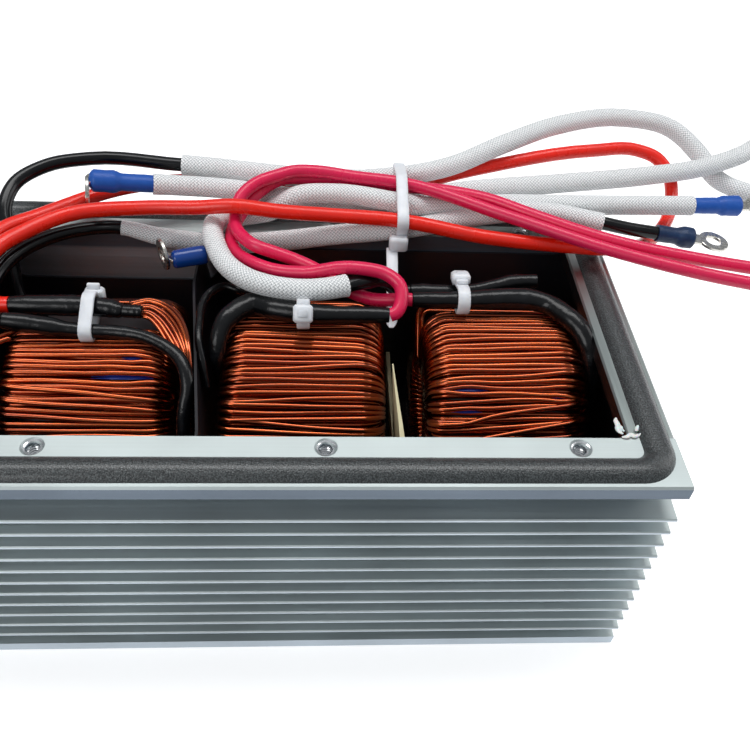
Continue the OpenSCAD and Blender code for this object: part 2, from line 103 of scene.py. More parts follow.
def flow(points, per=6):
    """A smooth line in metres through points in mm, with `per` steps between two of them."""
    p = np.array(points, float)
    steps = np.diff(p, axis=0)
    gap = np.linalg.norm(steps, axis=1)
    pace = steps / gap[:, None]
    slope = np.empty_like(p)
    slope[1:-1] = (pace[1:] * gap[:-1, None] + pace[:-1] * gap[1:, None]) / (gap[1:] + gap[:-1])[:, None]
    slope[0], slope[-1] = pace[0], pace[-1]
    line = []
    for a, b, h, slope_a, slope_b in zip(p[:-1], p[1:], gap, slope[:-1], slope[1:]):
        for t in np.linspace(0, 1, per, endpoint=False):
            line.append(
                (2 * t**3 - 3 * t**2 + 1) * a
                + (t**3 - 2 * t**2 + t) * h * slope_a
                + (3 * t**2 - 2 * t**3) * b
                + (t**3 - t**2) * h * slope_b
            )
    return np.array(line + [p[-1]]) * MM


def how_far(line):
    """The distance along a line from its start to each of its points."""
    return np.concatenate([[0], np.cumsum(np.linalg.norm(np.diff(line, axis=0), axis=1))])


bent = flow([(0, 0, 0), (10, 0, 0), (10, 10, 0)])
print("a line through a 20 mm corner rounds it to", round(how_far(bent)[-1] * 1000, 1), "mm")

# %% A round outline


def whole_turn(steps):
    """Angles that divide a whole turn into equal steps."""
    return [k * 2 * math.pi / steps for k in range(steps)]


def circle(radius, sides):
    """A round outline, in the units of its radius."""
    return [(radius * math.cos(a), radius * math.sin(a)) for a in whole_turn(sides)]


# %% Sweep an outline along a line


def directions(line, closed):
    """The unit direction of a line at each of its points."""
    if closed:
        ahead_of = np.roll(line, -1, axis=0) - np.roll(line, 1, axis=0)
    else:
        ahead_of = np.empty_like(line)
        ahead_of[1:-1] = line[2:] - line[:-2]
        ahead_of[0], ahead_of[-1] = line[1] - line[0], line[-1] - line[-2]
    return ahead_of / np.maximum(np.linalg.norm(ahead_of, axis=1), 1e-9)[:, None]


def sweep_mesh(line, outline, scale=None, side=None, closed=False, caps=True, start=0.0):
    """An outline pushed along a line in metres, as vertices, faces and texture coordinates.

    The coordinates run round the outline from 0 to 1 and along the line in metres from start.
    A side keeps the outline's first axis towards one direction, and scale sizes it at each point.
    """
    line = np.array(line, float)
    n, m = len(line), len(outline)
    along = how_far(line) + start
    scales = np.ones(n) if scale is None else np.array(scale, float)
    verts, s = [], None
    for i, t in enumerate(directions(line, closed)):
        if side is not None:
            s = np.array(side, float)
        elif s is None:
            s = np.cross(t, (1, 0, 0) if abs(t[2]) > 0.9 else (0, 0, 1))
        s = s - (s @ t) * t
        s /= np.linalg.norm(s)
        b = np.cross(t, s)
        verts += [line[i] + scales[i] * (x * s + y * b) for x, y in outline]
    faces, coords = [], []
    for i in range(n if closed else n - 1):
        j = (i + 1) % n
        vi, vj = along[i], along[i + 1] if j else along[i] + np.linalg.norm(line[0] - line[-1])
        for k in range(m):
            q = (k + 1) % m
            faces.append((i * m + k, i * m + q, j * m + q, j * m + k))
            coords += [(k / m, vi), ((k + 1) / m, vi), ((k + 1) / m, vj), (k / m, vj)]
    if caps and not closed:
        faces += [tuple(range(m - 1, -1, -1)), tuple(range((n - 1) * m, n * m))]
        coords += [(0.5, along[0])] * m + [(0.5, along[-1])] * m
    return verts, faces, coords


print("a round bar along that line has", len(sweep_mesh(bent, circle(MM, 12))[1]), "faces")

# %% One object from several parts


def piece(name, parts, material, smooth_to=40):
    """One object from several sets of vertices, faces and texture coordinates, riding on the only body."""
    verts, faces, coords = [], [], []
    for v, f, c in parts:
        base = len(verts)
        verts += [tuple(x) for x in v]
        faces += [tuple(base + i for i in face) for face in f]
        coords += c
    mesh = bpy.data.meshes.new(name)
    mesh.from_pydata(verts, [], faces)
    layer = mesh.uv_layers.new(name="UVMap")
    layer.data.foreach_set("uv", np.array(coords, np.float32).ravel())
    mesh.polygons.foreach_set("use_smooth", [True] * len(faces))
    mesh.materials.append(material)
    mesh.update()
    if smooth_to < 180:
        mesh.set_sharp_from_angle(angle=math.radians(smooth_to))
    made = bpy.data.objects.new(name, mesh)
    bpy.context.scene.collection.objects.link(made)
    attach(made, "root")
    return made


print("mesh helpers ready")

# %% [markdown]
# ## Helpers for finishes
# Colours are written as sRGB hex, the way a paint chart gives them, and turned
# to linear values here. One function adds a shader node with its links. Three
# more say what a pattern does to a finish: change its colour, its roughness,
# or its relief. Node groups could hold these, but then the plain numbers would
# no longer sit on the shader itself.

# %% Colours


def linear(code):
    """#RRGGBB as a linear RGBA value."""
    parts = [int(code[i : i + 2], 16) / 255 for i in (1, 3, 5)]
    return tuple(c / 12.92 if c <= 0.04045 else ((c + 0.055) / 1.055) ** 2.4 for c in parts) + (1.0,)


print("middle grey #808080 in linear light:", round(linear("#808080")[0], 3))

# %% Nodes and materials


def add(tree, kind, inputs=None, **settings):
    """A shader node; inputs maps a socket's name or number to a value or to another node's output."""
    node = tree.nodes.new("ShaderNode" + kind)
    for name, value in settings.items():
        setattr(node, name, value)
    for key, value in (inputs or {}).items():
        if isinstance(value, bpy.types.NodeSocket):
            tree.links.new(value, node.inputs[key])
        else:
            node.inputs[key].default_value = value
    return node


def finish(name, colour, **sockets):
    """A named material whose main shader has these fixed values."""
    material = bpy.data.materials.new(name)
    material.use_nodes = True
    shader = material.node_tree.nodes["Principled BSDF"]
    shader.inputs["Base Color"].default_value = linear(colour)
    for key, value in sockets.items():
        shader.inputs[key.replace("_", " ").title().replace("Ior", "IOR")].default_value = value
    return material, material.node_tree, shader


def blend_colours(tree, factor, first, second):
    """The output of a mix of two colours."""
    return add(tree, "Mix", {0: factor, 6: first, 7: second}, data_type="RGBA").outputs[2]


# %% What a pattern does to a finish
USUAL = (0.3, 0.7)  # most of a noise's values lie between these


def colour_by(shader, pattern, reach, first, second, most=1.0):
    """Turns the colour from first towards second while the pattern's value crosses reach."""
    tree = shader.id_data
    share = add(tree, "MapRange", {0: pattern, 1: reach[0], 2: reach[1], 3: 0.0, 4: most})
    colour = blend_colours(tree, share.outputs[0], linear(first), linear(second))
    tree.links.new(colour, shader.inputs["Base Color"])


def roughness_by(shader, pattern, smooth, rough):
    """Turns the roughness from smooth to rough over the pattern's usual values."""
    tree = shader.id_data
    share = add(tree, "MapRange", {0: pattern, 1: USUAL[0], 2: USUAL[1], 3: smooth, 4: rough})
    tree.links.new(share.outputs[0], shader.inputs["Roughness"])


def bump_by(shader, pattern, strength, depth):
    """Gives the surface a relief that follows the pattern; depth is in metres."""
    tree = shader.id_data
    bump = add(tree, "Bump", {"Strength": strength, "Distance": depth, "Height": pattern})
    tree.links.new(bump.outputs[0], shader.inputs["Normal"])


# %% A plain material with one relief


def lumpy(name, colour, scale, detail, strength, depth, **sockets):
    """A material whose surface rises and falls with one noise; depth is in mm."""
    material, tree, shader = finish(name, colour, **sockets)
    place = add(tree, "TexCoord").outputs["Object"]
    lumps = add(tree, "TexNoise", {"Vector": place, "Scale": scale, "Detail": detail}).outputs[0]
    bump_by(shader, lumps, strength, depth * MM)
    return material


print("finish helpers ready")

# %% [markdown]
# ## Braided glass sleeve
# The sleeves are braided glass yarn: two sets of yarn cross at 45 degrees and
# pass over and under each other. An image could show that, but two ridged
# wave families in the tube's own coordinates stay sharp at any size. Yarns
# are about 1.2 mm wide on the real sleeve. Fine glass threads scatter light,
# so the braid is nearly white and dull. Shade is painted into the narrow
# grooves between its yarns, which are darker.

# %% Braided glass
SLEEVE_R = 3.4
YARN_MM = 1.2
braid, tree, shader = finish("braided_glass_sleeve", "#E9ECED", roughness=0.62, sheen_weight=0.25)
parts = add(tree, "SeparateXYZ", {0: add(tree, "UVMap").outputs[0]})
yarns = round(2 * math.pi * SLEEVE_R / YARN_MM)
round_it = add(tree, "Math", {0: parts.outputs[0], 1: yarns}, operation="MULTIPLY").outputs[0]
along_it = add(tree, "Math", {0: parts.outputs[1], 1: 1000 / YARN_MM}, operation="MULTIPLY").outputs[0]
ways = [add(tree, "Math", {0: round_it, 1: along_it}, operation=sign).outputs[0] for sign in ("ADD", "SUBTRACT")]
cells = [add(tree, "Math", {0: way}, operation="FLOOR").outputs[0] for way in ways]
ridges = [add(tree, "Math", {0: way, 1: 0.5}, operation="PINGPONG").outputs[0] for way in ways]
cell = add(tree, "Math", {0: cells[0], 1: cells[1]}, operation="ADD").outputs[0]
on_top = add(tree, "Math", {0: cell, 1: 2}, operation="FLOORED_MODULO").outputs[0]
ridge = add(tree, "Mix", {0: on_top, 2: ridges[0], 3: ridges[1]}, data_type="FLOAT").outputs[0]
lift = add(tree, "MapRange", {0: ridge, 1: 0.0, 2: 0.3, 3: 0.0, 4: 1.0}).outputs[0]
# Painted shade: the colour darkens in the narrow grooves between the yarns.
colour_by(shader, lift, (0, 1), "#A4ABAE", "#FBFCFC")
bump_by(shader, lift, 0.7, 0.3 * MM)
print("braid:", yarns, "yarns round the sleeve")

# %% [markdown]
# ## Cable skins
# The leads are covered with extruded silicone rubber. It comes out of the die
# smooth, so it gleams softly, and it picks up a faint dusty bloom. A plain
# colour would look like paint; a cloudy noise of about 6 mm in both the colour
# and the gloss is enough to make it rubber.

# %% Silicone rubber


def rubber(name, colour, dusty, gloss, sheen=0.5):
    """Extruded silicone insulation: a smooth skin with faint cloudy patches."""
    material, tree, shader = finish(name, colour, roughness=gloss, specular_ior_level=sheen)
    place = add(tree, "TexCoord").outputs["Object"]
    clouds = add(tree, "TexNoise", {"Vector": place, "Scale": 160.0, "Detail": 3.0}).outputs[0]
    colour_by(shader, clouds, (0.35, 0.75), colour, dusty, most=0.5)
    roughness_by(shader, clouds, gloss - 0.06, gloss + 0.08)
    return material


red_rubber = rubber("red_silicone_rubber", "#F0220F", "#D81E10", 0.28)
crimson_rubber = rubber("crimson_silicone_rubber", "#E01A50", "#CC1A4C", 0.28)
black_rubber = rubber("black_silicone_rubber", "#050608", "#0D0F12", 0.18, 0.35)
print("three cable skins made")

# %% [markdown]
# ## Heat-shrink tube
# Splices and crimps are covered with polyolefin tube, shrunk in hot air. It is
# satin and draws tight over what is inside, so it wrinkles every 2 to 3 mm and
# gets pale scuffs. The wrinkles could be modelled; at this size a bump with a
# slightly distorted noise shows the same broken highlight.

# %% Shrunk polyolefin


def shrink_tube(name, colour, pale, gloss):
    """Shrunk polyolefin tube: wrinkles round it every 2 to 3 mm, and pale scuffs."""
    material, tree, shader = finish(name, colour, roughness=gloss, specular_ior_level=0.35)
    place = add(tree, "TexCoord").outputs["Object"]
    folds = add(tree, "TexNoise", {"Vector": place, "Scale": 380.0, "Detail": 3.0, "Distortion": 0.6})
    scuffs = add(tree, "TexNoise", {"Vector": place, "Scale": 90.0, "Detail": 6.0, "Roughness": 0.7})
    colour_by(shader, scuffs.outputs[0], (0.52, 0.74), colour, pale, most=0.8)
    bump_by(shader, folds.outputs[0], 0.3, 0.5 * MM)
    return material


black_shrink = shrink_tube("black_shrink_polyolefin", "#07080A", "#1C1E22", 0.24)
blue_shrink = shrink_tube("blue_shrink_polyolefin", "#1B52A8", "#3468B8", 0.42)
navy_shrink = shrink_tube("navy_shrink_polyolefin", "#12294A", "#1D3D66", 0.42)
print("three colours of shrink tube made")

# %% [markdown]
# ## Tinned copper
# Ring terminals are stamped from copper sheet and dipped in tin. The tin is
# bright and slightly warm, and the press leaves fine marks of about 1 mm, so
# its roughness varies from mirror-like to satin.

# %% Tin over stamped copper
tinned, tree, shader = finish("tinned_copper", "#CFCDC6", metallic=1.0, roughness=0.24)
place = add(tree, "TexCoord").outputs["Object"]
marks = add(tree, "TexNoise", {"Vector": place, "Scale": 900.0, "Detail": 4.0}).outputs[0]
roughness_by(shader, marks, 0.16, 0.42)
bump_by(shader, marks, 0.3, 0.1 * MM)
print("tinned copper made")

# %% [markdown]
# ## The flying leads
# Six leads leave the splices: silicone-covered 4 to 5 mm cable, limp enough to
# loop back over the rim, with their ends shrunk into ring terminals. Three run
# bare, and the three black ones wear a braided sleeve. Each is a tube swept
# along the same middle line as its CAD solid, so nothing is fitted by eye.

# %% Routes of the leads, in mm, from the splice to the far end
ROUTES = {
    "red": [
        (-82.3, 3.6, 86.3), (-85, 3.6, 86.3), (-90.5, 7.4, 89.4), (-91.4, 13, 92.6), (-88.4, 20, 94.6),
        (-81, 29.6, 95), (-71, 37.4, 95.4), (-48, 41.6, 95.8), (-30, 40.4, 97.2), (-18, 39.2, 98.9),
        (-4, 39.6, 97), (12, 40.8, 95.2), (37, 40.2, 93.9), (64, 37.2, 90.4), (90, 34.5, 89.4),
        (104, 33, 89.6), (116, 39, 85.8), (124, 46.5, 82), (132, 55, 80.4), (139, 65, 82), (141.6, 73, 85),
        (141.4, 80.5, 89.6), (137, 85.6, 93.6), (129, 88, 95.6), (112, 86, 96), (66, 75.4, 93), (37, 66.8, 90),
        (-46, 65.5, 90.6), (-60, 59.6, 91), (-82, 41, 92), (-90, 32.6, 93), (-96, 20, 92.4), (-103, 4, 90.8),
    ],
    "crimson_1": [
        (31.3, 1.1, 86.4), (33, 1.5, 87), (34.8, 5, 89.2), (34.4, 9, 91.6), (30.6, 12, 93.4), (24, 13.6, 94.2),
        (17.5, 14.5, 93.9), (5.2, 15.4, 91), (-4.2, 17.6, 90), (-11.5, 21.8, 89.6), (-16.6, 27.3, 88.9),
        (-19.2, 34.4, 88.9), (-19.2, 40, 89.3), (-17.2, 45.2, 91), (-14, 49.4, 94.2), (-9.6, 54.4, 96),
        (-4, 57.6, 97.6), (6, 59.4, 97.3), (20, 59.2, 96.9), (37, 58.3, 95.9), (52, 54, 97.2),
        (66, 49.5, 97.3), (80, 42.6, 96.2), (104, 31.3, 94.6), (133, 21.4, 94.4), (152, 16.6, 94.4),
    ],
    "crimson_2": [
        (38.7, 10, 85.2), (36.3, 10, 85.2), (26, 11.8, 83.8), (17, 15, 85.6), (9, 20, 88.4), (1.7, 23.2, 90),
        (-4.6, 24.6, 91.6), (-10.8, 26.2, 93), (-14.8, 30.6, 92.9), (-17.6, 36, 93.2), (-17.9, 42.2, 94.8),
        (-16.6, 46.6, 97.4), (-12, 51, 99.9), (-5.5, 54, 101.2), (1, 56.8, 101.6), (8, 57.2, 101.5),
        (21.3, 56.4, 100.2), (37, 54.9, 99.3), (72, 41, 96.2), (104, 25.6, 94.4), (131, 14, 94.4),
        (157, 6, 94.4),
    ],
    "black_1": [
        (-83.7, 24, 64), (-86, 24.2, 64.6), (-89, 26.6, 68.8), (-91, 31.4, 77.4), (-91.4, 36.6, 86),
        (-93.5, 45, 92.4), (-91.5, 54, 96), (-83, 62, 98), (-69, 66.4, 98.6), (-38, 66.2, 97.2),
        (37, 64.6, 95.8), (55, 69, 97.6), (75, 79.2, 101), (99, 93.5, 102), (126, 102.6, 101),
        (146, 100.6, 98), (156.3, 92.4, 92), (162, 84, 86.8), (171, 76, 86), (183, 70.4, 86.6),
        (196, 71, 88.4), (205.5, 79, 91), (205.5, 90, 94), (196, 98, 96), (183, 96, 96), (170, 87.4, 95),
        (151, 78.6, 94), (130, 72.6, 94), (96, 66.4, 93.6), (60, 63, 91.6), (37, 58.6, 89.9), (0, 58.8, 90),
        (-22, 57.5, 93.6), (-46, 53, 97.6),
    ],
    "black_2": [
        (-82.3, -3.6, 86.3), (-85, -3.6, 86.3), (-89.4, -1.4, 84.6), (-91.2, 6, 83.8), (-90.6, 14.5, 85.4),
        (-87.6, 22.5, 87.6), (-78, 35, 88), (-68, 41, 87.4), (-56, 42, 87.6), (-44, 41.4, 84.8),
        (-31, 41.2, 82.8), (-17, 41.2, 82.8), (-4, 41.6, 83.8), (16, 42.4, 86.4), (37, 43.3, 88.6),
        (50, 46.8, 88.6), (66, 48.8, 91.2), (88, 50, 92), (107, 46.8, 90.4), (117, 45.6, 89), (127, 44.8, 88),
    ],
    "white": [
        (38.7, 16.8, 82.9), (36, 16.8, 82.9), (30, 15.8, 87.8), (23.5, 12.4, 90), (18, 9.6, 90.8), (8, 7, 91),
        (-3, 7.8, 91), (-12, 11.8, 90.8), (-19, 19, 90.4), (-23.2, 28, 90.3), (-25.1, 35, 90.3),
        (-25.4, 42, 89.9), (-22.8, 47.6, 88), (-16.6, 50.4, 87.7), (-8, 51, 89.2), (2, 52.4, 94.8),
        (14, 52.4, 96), (37, 49.8, 94.6), (46, 52.2, 91.8), (56, 54.7, 90.8), (66, 56.2, 90.6),
        (104, 57.4, 90.6), (143, 58.6, 90.6),
    ],
}
LINES = {name: flow(points) for name, points in ROUTES.items()}
for name, line in LINES.items():
    print(name, "lead:", round(float(how_far(line)[-1]), 3), "m")

# %% Plain cables
RED_R, CRIMSON_R, CABLE_R = 2.4, 2.1, 2.3


def cable(name, line, radius, material):
    """A round cable along a line in metres; the radius is in mm."""
    made = piece(name, [sweep_mesh(line, circle(radius * MM, 20))], material, 60)
    return made


# %% Sleeves, slightly uneven
DRAW_IN_MM = 22  # how far a drawn-in end takes to open to the full width
CUT_END = (0.72, 0.76)  # the braid turns in where it is cut, so that it reads as a tube
WANDER = 0.012  # share of its width by which a sleeve swells and narrows


def wobble(seed, waves=3):
    """A smooth wavy function of one number, about -1 to 1, the same for the same seed."""
    r = random.Random(seed)
    terms = [(r.uniform(0.6, 1.4) * (k + 1), r.uniform(0, 6.28), 1 / (k + 1)) for k in range(waves)]
    return lambda x: sum(a * math.sin(w * x + p) for w, p, a in terms) / 1.6


def sleeve(name, line, drawn_in=0.0):
    """A braided sleeve over a cable, with one end drawn in by a share of its width."""
    swell = wobble(name)
    narrow = [drawn_in * max(0, 1 - far / MM / DRAW_IN_MM) for far in how_far(line)]
    scale = [1 + WANDER * swell(i * 0.5) - less for i, less in enumerate(narrow)]
    first, last = line[0] + (line[1] - line[0]) * 0.6, line[-1] + (line[-2] - line[-1]) * 0.6
    scales = [*CUT_END, scale[0] + 0.03 - 0.03 * drawn_in, *scale[1:-1], 1.03, *CUT_END[::-1]]
    swept = sweep_mesh([first, line[0], *line, line[-1], last], circle(SLEEVE_R * MM, 28), scales, caps=False)
    made = piece(name, [swept], braid, 60)
    return made


print("a sleeve's width wanders by", round(2 * WANDER * SLEEVE_R, 2), "mm")

# %% [markdown]
# ## Ring terminals
# Each lead ends in a stamped ring, crimped on, with shrink tube over the
# crimp. The tube follows the cable first and then bulges over the crimp's
# mouth. A boolean could punch the ring; a flat bar swept round a circle has
# cleaner edges. One terminal is bent square to its barrel.

# %% A flat bar's outline


def rounded(width, thick, bevel):
    """A flat bar's outline with its four corners cut."""
    w, t, b = width / 2, thick / 2, bevel
    return [(w, -t + b), (w, t - b), (w - b, t), (-w + b, t), (-w, t - b), (-w, -t + b), (-w + b, -t), (w - b, -t)]


# %% The parts of a ring terminal, in mm
CRIMP_R, MOUTH_R, MOUTH_SLOPE = 3.0, 3.8, 2.2  # the tube over the cable and over the mouth, and the way between
RING_R, RING_BORE_R, TONGUE_T, TONGUE_W = 5.25, 2.65, 1.2, 5.2
NECK = ((-2, 0), (0.5, 0), (2.4, 0))  # beyond the tube's end, and up from its middle
BENT_NECK = ((-2, 0.6), (0.1, 0.5), (0.7, -0.2), (0.7, -1.4))


def barrel_tube(name, start, out, flat, barrel, skin):
    """The shrink tube over a crimp, from a start in metres along the direction out."""
    shape = wobble(name)
    stations = np.linspace(-0.5, barrel, 30)
    tips = [1] * 28 + [0.85, 0.55]
    scales = []
    for x, tip in zip(stations, tips):
        bulge = min(1, max(0, (x - barrel * 0.5) / MOUTH_SLOPE))
        scales.append((CRIMP_R + (MOUTH_R - CRIMP_R) * bulge) * tip * (1 + 0.025 * shape(x * 0.9)))
    outline = [(x, y * (0.93 if y > 0 else 0.96)) for x, y in circle(MM, 24)]
    at = [start + out * x * MM for x in stations]
    return piece(name, [sweep_mesh(at, outline, scales, side=flat)], skin, 60)


def terminal(name, line, barrel, skin, replaced, bent=False):
    """A ring terminal on the end of a line: the tube over its crimp, and its ring, flat or bent square to it."""
    out = (line[-1] - line[-2]) / np.linalg.norm(line[-1] - line[-2])
    start = line[-1] + out * 0.2 * MM
    flat = np.cross(out, (0, 0, 1))
    flat /= np.linalg.norm(flat)
    upward = np.cross(flat, out)
    made = barrel_tube(name, start, out, flat, barrel, skin)
    if bent:
        centre = start + (out * (barrel + 0.6) - flat * 1.3 - upward * 3.7) * MM
        ahead, normal = upward, out
    else:
        centre = start + out * (barrel + RING_R + 2) * MM
        ahead, normal = out, np.cross(out, flat)
    around = np.cross(normal, ahead)
    middle = (RING_R + RING_BORE_R) / 2 * MM
    loop = [centre + (ahead * math.cos(a) + around * math.sin(a)) * middle for a in whole_turn(48)]
    ring = sweep_mesh(loop, rounded(TONGUE_T * MM, (RING_R - RING_BORE_R) * MM, 0.22 * MM), side=normal, closed=True)
    neck = [start + (out * (barrel + x) + upward * y) * MM for x, y in (BENT_NECK if bent else NECK)]
    tongue = sweep_mesh(neck, rounded(TONGUE_W * MM, TONGUE_T * MM, 0.25 * MM), side=flat)
    eye = piece(name + "_ring", [ring, tongue], tinned, 40)
    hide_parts(replaced)
    return [made, eye]


print("a terminal's ring is", 2 * RING_R, "mm across")

# %% [markdown]
# ## The six leads
# A lead is a cord: it has a real length, a thickness and something on its end.

# %% Leads


# %% Red and crimson leads
red = cable("red_cable", LINES["red"], RED_R, red_rubber)
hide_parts("red_lead")
terminal("red_terminal", LINES["red"], 18, blue_shrink, "terminals_left")

for n in ("1", "2"):
    line = LINES["crimson_" + n]
    crimson = cable("crimson_cable_" + n, line, CRIMSON_R, crimson_rubber)
    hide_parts("crimson_lead_" + n)
    end = terminal("crimson_terminal_" + n, line, 18, blue_shrink, "terminals_right")

# %% Black leads in their sleeves
STEPS = 6  # how many steps flow() makes between two route points
LAST_WHITE = len(ROUTES["white"]) - 1
SLEEVED = (  # name, sleeve's first and last route point, barrel in mm, skin, CAD lead, CAD terminals
    ("black_1", 9, 33, 20, blue_shrink, "black_lead_1", "terminals_left"),
    ("black_2", 8, 18, 13, navy_shrink, "black_lead_2", "terminals_right"),
    ("white", 4, LAST_WHITE, 18, blue_shrink, "white_lead", "terminals_right"),
)
for name, first, last, barrel, skin, lead, group in SLEEVED:
    line = LINES[name]
    inner = cable(name + "_cable", line, CABLE_R, black_rubber)
    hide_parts(lead)
    covered = line[first * STEPS : last * STEPS + 1]
    cover = sleeve(name + "_sleeve", covered, drawn_in=0.28 if name == "black_2" else 0.0)
    end = terminal(name + "_terminal", line, barrel, skin, group, bent=name == "black_1")

# %% [markdown]
# ## A small terminal on a thin lead
# A thin sleeved lead comes up behind the middle winding. Its ring terminal has
# a moulded grip of blue nylon, glossy from the tool, instead of shrink tube.
# It is too short to lie anywhere else, so it is a plain swept piece.

# %% Small terminal
moulded, tree, shader = finish("moulded_blue_nylon", "#0E3C88", roughness=0.2)
THIN_LEAD = [
    (-28.6, 31.4, 85.4), (-24.5, 33, 84.2), (-20, 34.4, 82), (-15, 34.4, 78), (-11.5, 33.8, 72), (-10, 33.4, 66),
]
thin_sleeve = piece("thin_sleeve", [sweep_mesh(flow(THIN_LEAD), circle(2.4 * MM, 24), caps=False)], braid, 60)

GRIP = [(-38, 28.6, 84.9), (-37, 28.9, 84.9), (-31, 30.7, 85), (-28, 31.6, 85), (-27.4, 31.8, 85)]
GRIP_RADII = [2.2, 2.6, 2.85, 2.95, 3.0, 3.05, 3.1, 3.1, 3.1, 3.05, 2.95, 2.8, 2.4]
grip = piece("moulded_grip", [sweep_mesh(flow(GRIP, 3), circle(MM, 24), GRIP_RADII)], moulded, 60)

EYE_MIDDLE, EYE_R = (-41, 30, 86), 3.95
across_eye, through_eye = np.array((0.45, -0.89, 0)), (0.89, 0.45, 0)
eye_loop = [EYE_MIDDLE + (across_eye * math.cos(a) + (0, 0, math.sin(a))) * EYE_R for a in whole_turn(40)]
eye_neck = flow([(-41, 29.4, 88), (-40.2, 29, 86.6), (-37.4, 28.7, 85)], 3)
small_ring = piece(
    "small_ring",
    [
        sweep_mesh(np.array(eye_loop) * MM, rounded(1.1 * MM, 2.6 * MM, 0.22 * MM), side=through_eye, closed=True),
        sweep_mesh(eye_neck, rounded(4.4 * MM, 1.1 * MM, 0.2 * MM), side=across_eye),
    ],
    tinned,
    40,
)
print("small terminal made")

# %% [markdown]
# ## The windings
# Each choke is one long enamelled copper wire wound round a powder core, so
# its turns run along the case outside, bend over the shoulders and go back
# through the bore. An Array modifier would repeat one perfect turn, which
# looks machined. Here one continuous wire is computed turn by turn, and each
# turn wanders a little, as hand-guided winding does. The wire is drawn copper
# under clear brown enamel: the metal gives the orange gleam along its crest,
# and the enamel a second, sharper glint. Its tint drifts along its length.

# %% Enamelled copper
copper, tree, shader = finish(
    "enamelled_copper_wire", "#B0501F", metallic=1.0, roughness=0.17, coat_weight=0.7, coat_roughness=0.08
)
far = add(tree, "SeparateXYZ", {0: add(tree, "UVMap").outputs[0]}).outputs[1]
length_only = add(tree, "CombineXYZ", {0: far}).outputs[0]
tint = add(tree, "TexNoise", {"Vector": length_only, "Scale": 12.0, "Detail": 1.0}).outputs[0]
colour_by(shader, tint, USUAL, "#86310E", "#C65C24")
roughness_by(shader, tint, 0.16, 0.25)
print("enamelled copper made")

# %% One turn of a winding
COIL_Z, COIL_R, COIL_HALF, COIL_BORE_R = 45.0, 36.5, 25.5, 15.0
COIL_X = (-58.0, 5.0, 68.0)
WIRE_R = 0.8
TURNS = 118  # round the outside, 1.9 mm apart, so 1.6 mm wire has room to wander
CORE_BEND = 3.0  # how sharply the wire bends at the bore


def turn_shape(outer, face, inner, bends):
    """One turn as (along the case, out from the axis) in mm: out of the bore, over the right end and back.

    The bends are the radii of its right and left shoulders.
    """
    sides = []
    low = CORE_BEND
    for bend in bends:
        half = [(0.0, inner), (face - low - 6, inner)]
        quarter = np.linspace(0, math.pi / 2, 4)
        half += [(face - low + low * math.sin(a), inner + low - low * math.cos(a)) for a in quarter]
        half.append((face, (outer + inner) / 2))
        quarter = np.linspace(0, math.pi / 2, 8)
        half += [(face - bend + bend * math.cos(a), outer - bend + bend * math.sin(a)) for a in quarter]
        sides.append(half + [(x, outer) for x in np.linspace(face - bend, 0, 7)[1:]])
    right, left = sides
    return right + [(-x, r) for x, r in left[-2:0:-1]]


one = turn_shape(COIL_R, COIL_HALF, COIL_BORE_R, (8.8, 3.3))
print("one turn takes", round(how_far(one + one[:1])[-1]), "mm of wire")

# %% How each winding was wound
SPAN = {1: (9, 118), 2: (1, 118), 3: (14, 125)}  # first and last turn; 118 is at the top, and more is behind it
TOP_FROM, TOP_OVER = 94, 16  # from this turn on, over this many turns, the winding curves to its top
BENDS, TOP_BEND = (8.8, 3.3), {1: 1.0, 2: 4.5, 3: 4.5}  # right and left bend; how much rounder the left is at the top
LEAN = {1: 0.5, 2: 0.0, 3: 1.7}  # how far the top turns slant, in wire widths
LEAN_SPREAD = 0.2  # how much the slant differs from turn to turn, in wire widths
OWN_WAVE, SHARED_WAVE = 0.14, 0.34  # how far a turn wanders by itself and with its neighbours, in wire widths
OWN_RISE = 0.12  # how far a turn rises by itself, in mm
WILD_FROM, WILD_OVER = 20, 12  # mm out from the axis; nearer to it the turns lie straight
TWO_DEEP = 1.75  # mm that every second turn lies further out in the bore
# Where the turns part, the blue film between the layers shows: turn number,
# place along the case and half length in mm, and how many wire widths they part.
PARTED = {
    1: [(112, 13.0, 3.5, 0.25), (109, 10.5, 9.5, 0.42)],
    2: [],
    3: [(107, -14.0, 7.0, 0.5), (104, -14.0, 5.0, 0.35), (106, 14.5, 4.0, 0.3)],
}
PARTED_TURNS = 4  # how many turns on either side give way
RIDER_FROM, RIDER_HALF = 0.45, 24  # mm: a turn this high rides, and this far from its middle it is down again
# Turns that ride over their neighbours: number, slant in wire widths and height in mm.
RIDERS = {
    1: {106: (-1.1, 0.7), 104: (-0.8, 0.5), 98: (0.9, 0.4)},
    2: {110: (0.9, 0.4), 101: (-0.8, 0.4)},
    3: {100: (1.9, 0.9), 103: (1.4, 0.6), 106: (-1.1, 0.4), 109: (0.8, 0.4)},
}
print({n: last - first for n, (first, last) in SPAN.items()}, "turns in the outer layers")

# %% One continuous wire, with a closer layer under it
UNDER_R, UNDER_HALF, UNDER_BORE_R = COIL_R - 2.7, COIL_HALF - 2.2, COIL_BORE_R + 5  # the layer below, in mm


def pushed_aside(number, i, x):
    """How far turn i is pushed aside at x where the turns part, in wire widths."""
    push = 0.0
    for turn, middle, reach, parting in PARTED[number]:
        away = abs(i + 0.5 - turn)
        if away < PARTED_TURNS:
            bell = math.exp(-(((x - middle) / reach) ** 2)) * math.exp(-(away - 0.5) / 2)
            push += parting * bell * (1 if i >= turn else -1)
    return push


def on_coil(centre_x, x, out, angle):
    """The place of a point of the winding, in mm."""
    return centre_x + x, out * math.sin(angle), COIL_Z + out * math.cos(angle)


